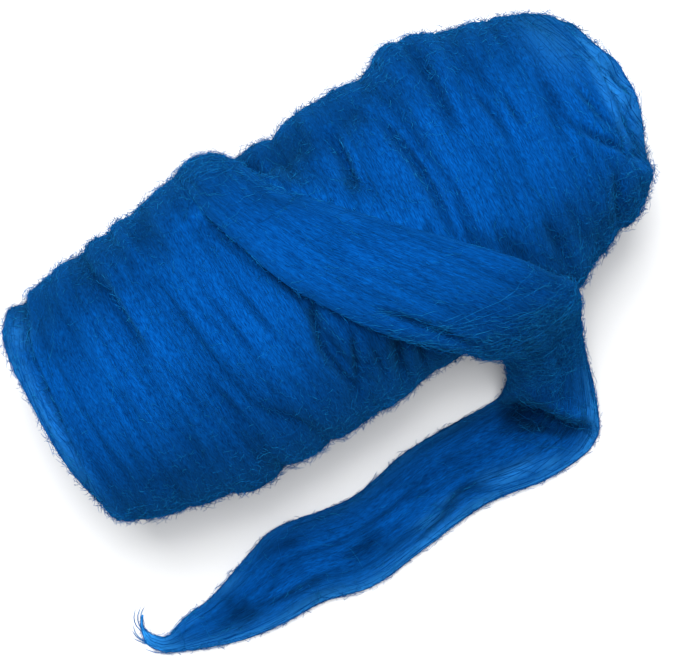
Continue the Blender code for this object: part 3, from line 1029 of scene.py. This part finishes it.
def band_locks(side, along, width):
    """For each row of the table of locks, soft random heights that are stretched along the band."""
    return [soft_noise(along / long, side * width / wide, seed) for wide, long, _, seed in BAND_LOCKS]


def band_relief(row, side, heights):
    """Heights on the band's top: the long folds of the table, which fade out at both ends, and the locks.

    Past row 16 the band has come loose, and over two rows its locks grow twice as high.
    """
    relief = np.zeros(np.broadcast(row, side).shape)
    for start, end, side_start, side_end, wide, lift in LONG_FOLDS:
        part = np.clip((row - start) / (end - start), 0, 1)
        line = side_start + (side_end - side_start) * part
        relief += lift * hump(side - line, wide) * np.sin(np.pi * part) ** FOLD_FADE
    loose = 1 + np.clip((row - LOOSE_FROM) / 2, 0, 1)
    return relief + loose * lock_relief(heights, BAND_LOCKS)


# %% Both sides of the loose end
BAND_RINGS = 400
BAND_UNDER = 25
BAND_TOP = 61
FINE_STEPS = 4000
ABOVE_TABLE = 0.3


def outward(grid):
    """Unit normals of an open grid of points, to the side that is up when the band lies flat."""
    normal = np.cross(np.gradient(grid, axis=0), np.gradient(grid, axis=1))
    return normal / np.maximum(np.linalg.norm(normal, axis=-1, keepdims=True), 1e-9)


def even_rows(edges, count):
    """Row numbers at even distances along the band's middle line, and those distances."""
    fine = np.linspace(0, len(edges) - 1, FINE_STEPS)
    found = through(np.arange(len(edges), dtype=float), edges, fine)
    middle = (found[:, :3] + found[:, 3:6]) / 2
    run = np.concatenate([[0], np.cumsum(np.linalg.norm(np.diff(middle, axis=0), axis=1))])
    along = np.linspace(0, run[-1], count)
    return np.interp(along, run, fine), along


def band_side(count):
    """Places across the band from 0 to 1, closer together near the edges."""
    return (1 - np.cos(np.linspace(0, np.pi, count))) / 2


def band_under(found, count):
    """The under side: straight across between both edges, kept clear of the roll and above the table."""
    side = band_side(count)[None, :, None]
    under = clear_of_roll(found[:, None, :3] + (found[:, None, 3:6] - found[:, None, :3]) * side)
    under[..., 2] = np.maximum(under[..., 2], ABOVE_TABLE)
    return under


# %% The loose end as rings of points
EDGE_THICK = 1.0
MERGED_THICK = 0.3
SWELL_POWER = 0.8
# The rows over which the band's right side, and at its start its left side, merge with the turns below.
MERGE_ROWS = (2.5, 5.0, 9.5)
START_ROWS = (0.0, 2.5, 5.0)

edges = band_edges()
band_row, band_along = even_rows(edges, BAND_RINGS)
band_found = through(np.arange(len(edges), dtype=float), edges, band_row)
band_width = np.linalg.norm(band_found[:, 3:6] - band_found[:, :3], axis=1)
side = band_side(BAND_TOP)
merging = np.outer(np.interp(band_row, MERGE_ROWS, (0, 1, 0)), np.clip(2 * side - 0.6, 0, 1))
merging += np.outer(np.interp(band_row, START_ROWS, (1, 1, 0)), np.clip(1.4 - 2 * side, 0, 1))
edge_thick = EDGE_THICK - (EDGE_THICK - MERGED_THICK) * merging
swell = np.sqrt(np.clip(1 - (2 * side - 1) ** 2, 0, 1))[None, :] ** (SWELL_POWER + merging)
band_heights = band_locks(side[None, :], band_along[:, None], band_width[:, None])
relief = band_relief(band_row[:, None], side[None, :], band_heights)
thick = edge_thick + (band_found[:, 6:] - EDGE_THICK + relief) * swell
below = band_under(band_found, BAND_TOP)
up = outward(below)
above = below + up * np.maximum(thick, edge_thick)[..., None]
thick = thick + line_relief(above[..., 0], above[..., 1], BAND_LINES) * np.clip(2 * swell, 0, 1)
above = below + up * np.maximum(thick, edge_thick)[..., None]
band_rings = np.concatenate([band_under(band_found, BAND_UNDER), above[:, ::-1]], axis=1)
print("the loose end is", round(band_along[-1]), "mm long and", round(np.median(band_width)), "mm wide")

# %% Make the loose end's skin
# The pale rims, painted light where light comes through thin wool: how strong it is on the left one before
# and at the tip, on the right one, and how wide they are.
LEFT_RIM = (0.15, 0.85)
RIGHT_RIM = 0.80
RIM_REACH = 3.6
TIP_PAINTED_LIGHT = 0.32
# The rows over which the rims begin, and over which the tip does.
RIM_ROWS = (12.5, 14.5)
TIP_ROWS = (26.0, 29.0)

loose_wool = wool_finish(
    "loose_wool", streaks=((7, 28, 3), (170, 240, 2)), colours=SKIN_COLOURS, crimp=(230, 42, 0.011)
)
band_normals = facing_out(band_rings)
band_hollows = hollow_depth(band_rings, band_normals, down=3, around=4)
# Painted shade of the loose end: its shadow tables, the valleys between locks, its steepness and hollows.
band_light = light_left(band_rings, spots(band_rings, LOOSE_PAINTED_SHADE) + stripes(band_rings, LOOSE_CONTACT_SHADOWS))
band_light[:, BAND_UNDER:] *= valley_light(band_heights, BAND_VALLEY_SHADE)[:, ::-1]
band_shade = wool_shade(climb(band_rings, axis=0), band_hollows) * band_light
# Painted light along both rims and over the tip, where light comes through the thin wool.
from_left = np.outer(band_width, np.concatenate([np.full(BAND_UNDER, 0.5), side[::-1]]))
from_right = band_width[:, None] - from_left
left_rim = np.interp(band_row, TIP_ROWS, LEFT_RIM)[:, None]
rim_light = left_rim * np.exp(-from_left / RIM_REACH) + RIGHT_RIM * np.exp(-from_right / RIM_REACH)
rim_light *= np.interp(band_row, RIM_ROWS, (0, 1))[:, None]
tip_painted_light = np.interp(band_row, TIP_ROWS, (0, TIP_PAINTED_LIGHT))[:, None] * np.ones(rim_light.shape)
band_painted_light = np.maximum.reduce([rim_light, tip_painted_light, *spots(band_rings, LOOSE_PAINTED_LIGHT_SPOTS)])
band_numbers = ((SHADE_NAME, with_tips(band_shade)), (PAINTED_LIGHT_NAME, with_tips(band_painted_light)))
band_tips = [band_rings[0].mean(axis=0), band_rings[-1].mean(axis=0)]
band_points, band_faces, band_maps = skin(band_rings, band_tips)
band_maps = [one[..., ::-1] for one in band_maps]
loose_skin = add_mesh("loose_skin", band_points, band_faces, band_maps, loose_wool, band_numbers)
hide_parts("loose_end")

# %% [markdown]
# ## Locks of fibre
#
# A smooth skin with a pattern on it still looks like plastic. Real roving is made of strands, and each one
# throws its own small shadow. So the skins are covered with thin strands, three-sided and closed to a point
# at both ends, which cost only 36 triangles each. A strand is laid by its place in the skin's own grid, so
# it follows every turn and dip, and it runs the way the fibres of the skin run.

# %% Places on a skin
on_roll = {"grid": roll_rings, "normals": roll_normals, "hollows": roll_hollows, "light": roll_light}
on_band = {"grid": band_rings, "normals": band_normals, "hollows": band_hollows, "light": band_light}
# The fibres run round the roll along its columns, and lengthwise on the loose end along its rows.
on_roll["lengthwise"], on_band["lengthwise"] = False, True


def on_skin(grid, row, column):
    """What a grid says between its rows and columns, blended both ways. Its columns meet at the seam."""
    count, around = grid.shape[:2]
    row = np.clip(row, 0, count - 1.001)
    low, left = np.floor(row).astype(int), np.floor(column).astype(int)
    down, over = (row - low)[..., None], (column - left)[..., None]
    left, right = left % around, (left + 1) % around
    first = grid[low, left] * (1 - over) + grid[low, right] * over
    second = grid[low + 1, left] * (1 - over) + grid[low + 1, right] * over
    return first * (1 - down) + second * down


def scatter(rings, liking, count, rng):
    """Random places on a skin, as row and column numbers: a cell is drawn by its area times its liking."""
    across = np.linalg.norm(np.roll(rings, -1, axis=1) - rings, axis=-1)[:-1]
    down = np.linalg.norm(np.diff(rings, axis=0), axis=-1)
    weight = across * down * liking[:-1]
    cell = rng.choice(weight.size, count, p=weight.ravel() / weight.sum())
    row, column = np.divmod(cell, weight.shape[1])
    return row + rng.random(count), column + rng.random(count)


# %% Strands as one mesh
STRAND_SIDES = 3
STRAND_COLUMNS = 256
COLUMN_SPREAD = 12.0
COLUMN_SHARE = 0.3
TABLE_CLEAR = 0.35
STRAND_STREAKS = ((2, STRAND_COLUMNS * 1.7, 1), (5, STRAND_COLUMNS * 2.9, 1))


def strand_faces(count, length):
    """The faces of many strands: quads between the rings of each, and a fan of triangles at both tips."""
    edge = np.arange(STRAND_SIDES)
    beyond = (edge + 1) % STRAND_SIDES
    near = 1 + STRAND_SIDES * np.arange(length - 3)[:, None]
    next_ring = near + STRAND_SIDES
    quads = np.stack([near + edge, next_ring + edge, next_ring + beyond, near + beyond], axis=-1)
    far = near[-1, 0] + STRAND_SIDES
    tip = far + STRAND_SIDES
    first = np.stack([np.zeros(STRAND_SIDES, int), 1 + edge, 1 + beyond], axis=1)
    last = np.stack([far + edge, np.full(STRAND_SIDES, tip), far + beyond], axis=1)
    shift = (np.arange(count) * (tip + 1))[:, None, None]
    fans = np.concatenate([first, last])
    return [(quads.reshape(-1, 4) + shift).reshape(-1, 4), (fans + shift).reshape(-1, 3)]


def strand_map(column, ends, length):
    """A strand's map: one narrow column of the pattern, as far down it as the strand's end says."""
    steps = np.repeat(np.arange(1, length - 1), STRAND_SIDES)
    down = np.concatenate([[0], steps, [length - 1]]) / (length - 1)
    over = np.concatenate([[0], np.tile([0, -1, 1], length - 2), [0]]) * COLUMN_SHARE / STRAND_COLUMNS
    down = down[None, :] * np.broadcast_to(ends, len(column))[:, None]
    return np.stack([down, column[:, None] + over[None, :]], axis=-1).reshape(-1, 2)


def add_strands(name, paths, ups, wide, high, hollow, light, rng, material, ends=1.0):
    """Closed three-sided strands along paths of points, flattened towards the way that is up for each.

    A ring stands at each inner point: the middle + wide cos(turn) across + high sin(turn) up, at turns of a
    third of a circle. The columns of the pattern go from the darkest painted shade to the lightest, and a
    strand takes the column of its own painted shade, give or take a few. Its end says how far down its
    column it reaches, where the pattern grows pale with painted light.
    """
    count, length = paths.shape[:2]
    paths[..., 2] = np.maximum(paths[..., 2], TABLE_CLEAR)
    across = np.cross(np.gradient(paths, axis=1), ups)
    across /= np.maximum(np.linalg.norm(across, axis=-1, keepdims=True), 1e-9)
    up = np.cross(across, np.gradient(paths, axis=1))
    up /= np.maximum(np.linalg.norm(up, axis=-1, keepdims=True), 1e-9)
    turn = np.pi / 2 + np.arange(STRAND_SIDES) * 2 * np.pi / STRAND_SIDES
    inner = slice(1, length - 1)
    rings = (
        paths[:, inner, None]
        + across[:, inner, None] * (wide[:, inner, None] * np.cos(turn))[..., None]
        + up[:, inner, None] * (high[:, inner, None] * np.sin(turn))[..., None]
    )
    points = np.concatenate([paths[:, :1], rings.reshape(count, -1, 3), paths[:, -1:]], axis=1)
    middle = paths[:, length // 2 + 1] - paths[:, length // 2 - 1]
    rise = middle[:, 2] / np.maximum(np.linalg.norm(middle, axis=-1), 1e-9)
    column = (wool_shade(rise, hollow) * light - LEAST_SHADE) / (MOST_SHADE - LEAST_SHADE)
    column = np.floor(column * STRAND_COLUMNS + rng.normal(0, COLUMN_SPREAD, count))
    column = (np.clip(column, 0, STRAND_COLUMNS - 1) + 0.5) / STRAND_COLUMNS
    places = strand_map(column, ends, length)
    groups = strand_faces(count, length)
    return add_mesh(name, points.reshape(-1, 3), groups, [places[group] for group in groups], material)


# %% Strands along lines on a skin
STRAND_POINTS = 8
STRAND_LIFT = (0.02, 0.25)
STRAND_WIDTH = (0.11, 0.24)
FLATNESS = 0.6
TAPER = np.array([0.0, 0.65, 0.95, 1.0, 1.0, 0.95, 0.65, 0.0])
SINK = np.array([-0.4, -0.05, 0.0, 0.0, 0.0, 0.0, -0.05, -0.4])
STRAND_PART = np.linspace(-0.5, 0.5, STRAND_POINTS)[None, :]
strand_wool = wool_finish("strand_wool", STRAND_STREAKS, STRAND_COLOURS)


def lay_strands(name, where, place, lines, rng):
    """Strands along lines of rows and columns, a little above the skin and sunk into it at both ends."""
    count = len(place[0])
    ups = on_skin(where["normals"], *lines)
    lift = rng.uniform(*STRAND_LIFT, count)[:, None] + SINK[None, :]
    paths = on_skin(where["grid"], *lines) + ups * lift[..., None]
    wide = rng.uniform(*STRAND_WIDTH, count)[:, None] * TAPER
    hollow, light = on_skin(np.stack([where["hollows"], where["light"]], axis=-1), *place).T
    return add_strands(name, paths, ups, wide, wide * FLATNESS, hollow, light, rng, strand_wool)


# %% Strands of the roll
PART_STRANDS = 1000
UNDER_SIDE = -0.3
UNDER_LIKING = 0.35
ROLL_REACH = (14, 55)
LEAST_RADIUS = 16.0
# Strands lean together in patches, each a little its own way, and one in eight lies quite across.
PATCH_TILT = 0.08
PATCH_WIDTH = 22.0
PATCHES_AROUND = 6
OWN_TILT = 0.04
ACROSS_SHARE = 0.12
ACROSS_TILT = 0.25


def roll_strands(name, low, high, seed):
    """Strands round the roll between two places along its profile, each following the lean of its turn.

    Place along the profile = start + flow of the turn + tilt * way round + sway * sin(2 pi * part).
    """
    rng = np.random.default_rng(seed)
    liking = UNDER_LIKING + (1 - UNDER_LIKING) * (roll_normals[..., 2] > UNDER_SIDE)
    liking[(roll_length < low) | (roll_length >= high)] = 0
    row, column = scatter(roll_rings, liking, PART_STRANDS, rng)
    length = (row + 1) * PROFILE[-1] / (ROLL_RINGS + 1)
    angle = column / ROLL_AROUND * 2 * np.pi - np.pi
    start = on_skin(roll_rings, row, column)
    radius = np.maximum(np.hypot(start[:, 1], start[:, 2] - AXIS_HEIGHT), LEAST_RADIUS)
    reach = rng.uniform(*ROLL_REACH, PART_STRANDS)
    angles = angle[:, None] + (reach / radius)[:, None] * STRAND_PART
    flow = turn_flow(start[:, :1], angles) - turn_flow(start[:, 0], angle)[:, None]
    patch = column * PATCHES_AROUND / ROLL_AROUND
    patches = soft_noise(length / PATCH_WIDTH, patch, seed + 1, PATCHES_AROUND)
    tilt = PATCH_TILT * patches + rng.normal(0, OWN_TILT, PART_STRANDS)
    lies_across = rng.random(PART_STRANDS) < ACROSS_SHARE
    tilt = np.where(lies_across, rng.normal(0, ACROSS_TILT, PART_STRANDS), tilt)
    sway = rng.uniform(0, 1, (PART_STRANDS, 1))
    sway = sway * np.sin(2 * np.pi * (STRAND_PART + rng.random((PART_STRANDS, 1))))
    lengths = length[:, None] + flow + (tilt * reach)[:, None] * STRAND_PART + sway
    rows = lengths * (ROLL_RINGS + 1) / PROFILE[-1] - 1
    columns = (angles + np.pi) / (2 * np.pi) * ROLL_AROUND
    return lay_strands(name, on_roll, (row, column), (rows, columns), rng)


third = PROFILE[-1] / 3
roll_strands("roll_strands_left", 0, third, seed=31)
roll_strands("roll_strands_middle", third, 2 * third, seed=32)
roll_strands("roll_strands_right", 2 * third, PROFILE[-1] + 1, seed=33)

# %% Strands of the loose end
LOOSE_STRANDS = 1000
BAND_REACH = (16, 65)
BELOW_LIKING = 0.15
DRIFT = 2.2
BAND_SWAY = 0.6


def band_strands(name, seed):
    """Strands lengthwise on the loose end: column = start + drift * part + sway * sin(2 pi * part)."""
    rng = np.random.default_rng(seed)
    liking = np.ones(band_rings.shape[:2])
    liking[:, : BAND_UNDER - 2] = BELOW_LIKING
    row, column = scatter(band_rings, liking, LOOSE_STRANDS, rng)
    spacing = band_along[-1] / (BAND_RINGS - 1)
    reach = rng.uniform(*BAND_REACH, LOOSE_STRANDS)
    rows = row[:, None] + (reach / spacing)[:, None] * STRAND_PART
    drift = rng.normal(0, DRIFT, (LOOSE_STRANDS, 1)) * STRAND_PART
    sway = rng.uniform(0, BAND_SWAY, (LOOSE_STRANDS, 1)) * np.sin(2 * np.pi * STRAND_PART)
    rows = np.clip(rows, 0.5, BAND_RINGS - 1.5)
    return lay_strands(name, on_band, (row, column), (rows, column[:, None] + drift + sway), rng)


loose_strands = band_strands("loose_strands", seed=41)

# %% [markdown]
# ## Stray fibres
#
# Combed wool is never quite tidy. Single fibres stand off the surface, cross their neighbours and curl at
# the outline. They are much thinner than the locks, and crimped, as wool grows in waves. Short ones make the
# fuzz, and longer ones lie over it. Both like the outline, where they show best, and the two places where
# the wool is roughest: the roll's lower right, and the loose end where it drops.

# %% Stray fibres on a skin
STRAY_RADIUS = 0.075
CRIMP_LENGTH = 4.5
CRIMP_TURN = 0.6
RISE_POWER = 1.5
RISE_BEND = 1.4
STRAY_LIFT = 0.12
ROOT_SINK = 0.4
LEAST_CELL = 0.4
# Fibres on the sides are seen against the light: there they are wider, and painted pale towards their ends,
# where light comes through them.
SIDE_FACING = 0.2
SIDE_SPREAD = 0.8
SIDE_WIDER = 0.5
TOP_END = 0.25
SIDE_END = 0.35
stray_wool = wool_finish("stray_wool", STRAND_STREAKS, STRAY_COLOURS, pale_end=0.22)


def add_strays(name, where, liking, seed, count, points, reach, rise, wild):
    """Single fibres on a skin: each walks over it on a turning heading, and its end may rise off it.

    The heading is start + bend * t + wave * sin(crimp), with t from 0 to 1, the walk is the running sum of
    its cosine along the fibres and its sine across them, and the height is rise * t^1.4. The wilder they
    are, the less they follow the fibres below and the more they bend.
    """
    rng = np.random.default_rng(seed)
    grid = where["grid"]
    row, column = scatter(grid, liking, count, rng)
    by_row = np.linalg.norm(on_skin(grid, row + 0.5, column) - on_skin(grid, row - 0.5, column), axis=-1)
    by_column = np.linalg.norm(on_skin(grid, row, column + 0.5) - on_skin(grid, row, column - 0.5), axis=-1)
    part = np.linspace(0, 1, points)[None, :]
    run = rng.uniform(*reach, (count, 1))
    heading = rng.normal(0, wild, (count, 1)) + np.pi * (rng.random((count, 1)) < 0.5)
    crimp = 2 * np.pi * (run * part / CRIMP_LENGTH + rng.random((count, 1)))
    heading = heading + rng.normal(0, 2 * wild, (count, 1)) * part + CRIMP_TURN * np.sin(crimp)
    along = np.cumsum(np.cos(heading) * run / (points - 1), axis=1)
    across = np.cumsum(np.sin(heading) * run / (points - 1), axis=1)
    down, over = (along, across) if where["lengthwise"] else (across, along)
    rows = row[:, None] + down / np.maximum(by_row, LEAST_CELL)[:, None]
    rows = np.clip(rows, 0.5, len(grid) - 1.5)
    columns = column[:, None] + over / np.maximum(by_column, LEAST_CELL)[:, None]
    ups = on_skin(where["normals"], rows, columns)
    top = rise[0] + rng.uniform(0, 1, (count, 1)) ** RISE_POWER * (rise[1] - rise[0])
    height = top * part**RISE_BEND + STRAY_LIFT - ROOT_SINK * (part == 0)
    paths = on_skin(grid, rows, columns) + ups * height[..., None]
    sideways = hump(ups[:, 0, 2] - SIDE_FACING, SIDE_SPREAD)
    wide = np.outer(STRAY_RADIUS * (1 + SIDE_WIDER * sideways), np.ones(points))
    hollow, light = on_skin(np.stack([where["hollows"] / 2, where["light"]], axis=-1), row, column).T
    # Painted light: fibres on the sides grow paler towards their ends.
    ends = TOP_END + SIDE_END * sideways
    return add_strands(name, paths, ups, wide, wide, hollow, light, rng, stray_wool, ends)


# %% Where stray fibres like to be
# On the roll the likings add up: a little everywhere, more above the table, and most at the outline, where
# the skin turns away from the sky, and at the rough lower right.
over_table = roll_normals[..., 2] > -0.15
outline = hump(roll_normals[..., 2] - 0.2, 0.6)
hairy = hump(roll_rings[..., 0] - 140, 60) * hump(roll_rings[..., 1] + 45, 45)
roll_liking = 0.2 + 0.5 * over_table + 2.4 * outline + 2 * hairy
# On the loose end they like its edges, where it climbs or drops, and the tip, and hardly its under side.
FREE_EDGE = 0.6
descent = hump(band_rings[..., 0] - 82, 36) * hump(band_rings[..., 1] + 90, 60)
band_liking = 0.6 + np.abs(climb(band_rings, axis=0)) + 10 * (band_normals[..., 2] < FREE_EDGE)
band_liking[:, 2 : BAND_UNDER - 2] = 0.05
band_liking[-30:] *= 3
band_liking *= 1 + 1.6 * descent

# %% Fuzz and strays on both skins
ROLL_FUZZ = {"count": 4600, "points": 7, "reach": (2, 8), "rise": (0.3, 3.6), "wild": 1.0}
ROLL_STRAYS = {"count": 2400, "points": 10, "reach": (6, 22), "rise": (0.2, 4.5), "wild": 0.5}
LOOSE_FUZZ = {"count": 3500, "points": 7, "reach": (2, 8), "rise": (0.2, 3.0), "wild": 1.0}
LOOSE_STRAYS = {"count": 2000, "points": 10, "reach": (8, 30), "rise": (0.1, 3.5), "wild": 0.45}
on_left = (roll_length < PROFILE[-1] / 2)[:, None]
add_strays("roll_fuzz_left", on_roll, roll_liking * on_left, seed=51, **ROLL_FUZZ)
add_strays("roll_fuzz_right", on_roll, roll_liking * ~on_left, seed=52, **ROLL_FUZZ)
add_strays("roll_strays", on_roll, roll_liking + 2 * hairy, seed=53, **ROLL_STRAYS)
loose_fuzz = add_strays("loose_fuzz", on_band, band_liking, seed=54, **LOOSE_FUZZ)
loose_strays = add_strays("loose_strays", on_band, band_liking, seed=55, **LOOSE_STRAYS)

# %% Wisps at the tip
# Where each wisp starts, two places on its way and where it ends, as x and y.
TIP_WISPS = np.array([
    ((-184, -134.5), (-194.5, -129.5), (-199, -123), (-199.5, -117.5)),
    ((-185, -135.5), (-193.5, -131), (-198.5, -126), (-201.5, -121.5)),
    ((-186, -134.5), (-195.5, -127.5), (-198.5, -121), (-197, -114.5)),
    ((-190.5, -127), (-194.5, -119.5), (-193, -113), (-188, -108.5)),
    ((-191, -125), (-193.5, -118.5), (-190.5, -112.5), (-186, -109.5)),
    ((-192, -127), (-196, -119), (-195.5, -113), (-191.5, -108)),
    ((-176, -142), (-186, -140), (-194, -136), (-199, -130)),
])
WISP_HEIGHT = 1.2
WISP_WIDTH = 0.28
HEIGHT_SPREAD = 0.6
HEIGHT_GAIN = 0.2
wisp_part = np.linspace(0, 3, STRAND_POINTS)
wisp_flat = np.stack([through(np.arange(4.0), wisp, wisp_part) for wisp in TIP_WISPS])
wisp_sine = np.sin(np.arange(len(TIP_WISPS)))[:, None]
wisp_high = WISP_HEIGHT * (1 + HEIGHT_SPREAD * wisp_sine + HEIGHT_GAIN * wisp_part[None, :])
wisp_paths = np.concatenate([wisp_flat, wisp_high[..., None]], axis=-1)
wisp_ups = np.broadcast_to([0.0, 0.0, 1.0], wisp_paths.shape)
wisp_wide = WISP_WIDTH * np.broadcast_to(TAPER, wisp_paths.shape[:2])
level = np.zeros(len(TIP_WISPS))
wisp_rng = np.random.default_rng(61)
tip_wisps = add_strands(
    "tip_wisps", wisp_paths, wisp_ups, wisp_wide, wisp_wide, level, level + 1, wisp_rng, stray_wool
)

# %% [markdown]
# ## Table, light and camera
#
# The roll lies on a plain white table under soft studio light. A bright even sky fills the shadows, a large
# lamp from one side gives the turns their form, and the camera looks straight down.

# %% The table
TABLE_WHITE = (0.72, 0.725, 0.73, 1.0)
TABLE_HALF = 2.5
TABLE_HEIGHT = -0.2 * MM
table_finish = bpy.data.materials.new("table_white")
table_finish.use_nodes = True
table_surface = table_finish.node_tree.nodes["Principled BSDF"]
table_look = {"Base Color": TABLE_WHITE, "Roughness": 0.8, "Specular IOR Level": 0.1}
fill(table_finish.node_tree, table_surface, table_look)
table_mesh = bpy.data.meshes.new("table")
corner_signs = ((-1, -1), (1, -1), (1, 1), (-1, 1))
table_corners = [(x * TABLE_HALF, y * TABLE_HALF, TABLE_HEIGHT) for x, y in corner_signs]
table_mesh.from_pydata(table_corners, [], [(0, 1, 2, 3)])
table_mesh.materials.append(table_finish)
table = bpy.data.objects.new("table", table_mesh)
bpy.context.scene.collection.objects.link(table)
table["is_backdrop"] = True

# %% Sky and lamps
SKY_COLOUR = (0.97, 0.985, 1.0, 1.0)
SKY_STRENGTH = 0.38
# Name, place, aim, size and power.
LAMPS = (
    ("key_lamp", (0.12, 0.6, 1.6), (0.0, 0.0, 0.08), 0.9, 31.5),
    ("top_lamp", (0.1, 0.0, 2.3), (0.0, 0.0, 0.05), 1.2, 36.0),
)
sky = bpy.data.worlds.new("sky")
sky.use_nodes = True
fill(sky.node_tree, sky.node_tree.nodes["Background"], {"Color": SKY_COLOUR, "Strength": SKY_STRENGTH})
bpy.context.scene.world = sky
for name, place, aim, size, power in LAMPS:
    lamp = bpy.data.lights.new(name, "AREA")
    lamp.shape = "DISK"
    lamp.size = size
    lamp.energy = power
    holder = bpy.data.objects.new(name, lamp)
    holder.location = place
    holder.rotation_euler = (Vector(aim) - Vector(place)).to_track_quat("-Z", "Y").to_euler()
    bpy.context.scene.collection.objects.link(holder)

# %% Camera
CAMERA_PLACE = (-0.0111, -0.0292, 1.082)
CAMERA_TURN = -30.0
CAMERA_LENS = 100.04
lens = bpy.data.cameras.new("camera")
lens.lens = CAMERA_LENS
lens.sensor_width = 36.0
lens.clip_start = 0.05
camera = bpy.data.objects.new("camera", lens)
camera.location = CAMERA_PLACE
camera.rotation_euler = (0.0, 0.0, math.radians(CAMERA_TURN))
bpy.context.scene.collection.objects.link(camera)
bpy.context.scene.camera = camera
bpy.context.scene.view_settings.view_transform = "Standard"

# %% Measure the result
DRESSED_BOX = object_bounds()
for label, found in (("packed model", CAD_BOX), ("dressed model", DRESSED_BOX)):
    print(label, "in mm:", [round(1000 * value, 1) for corner in found for value in corner])
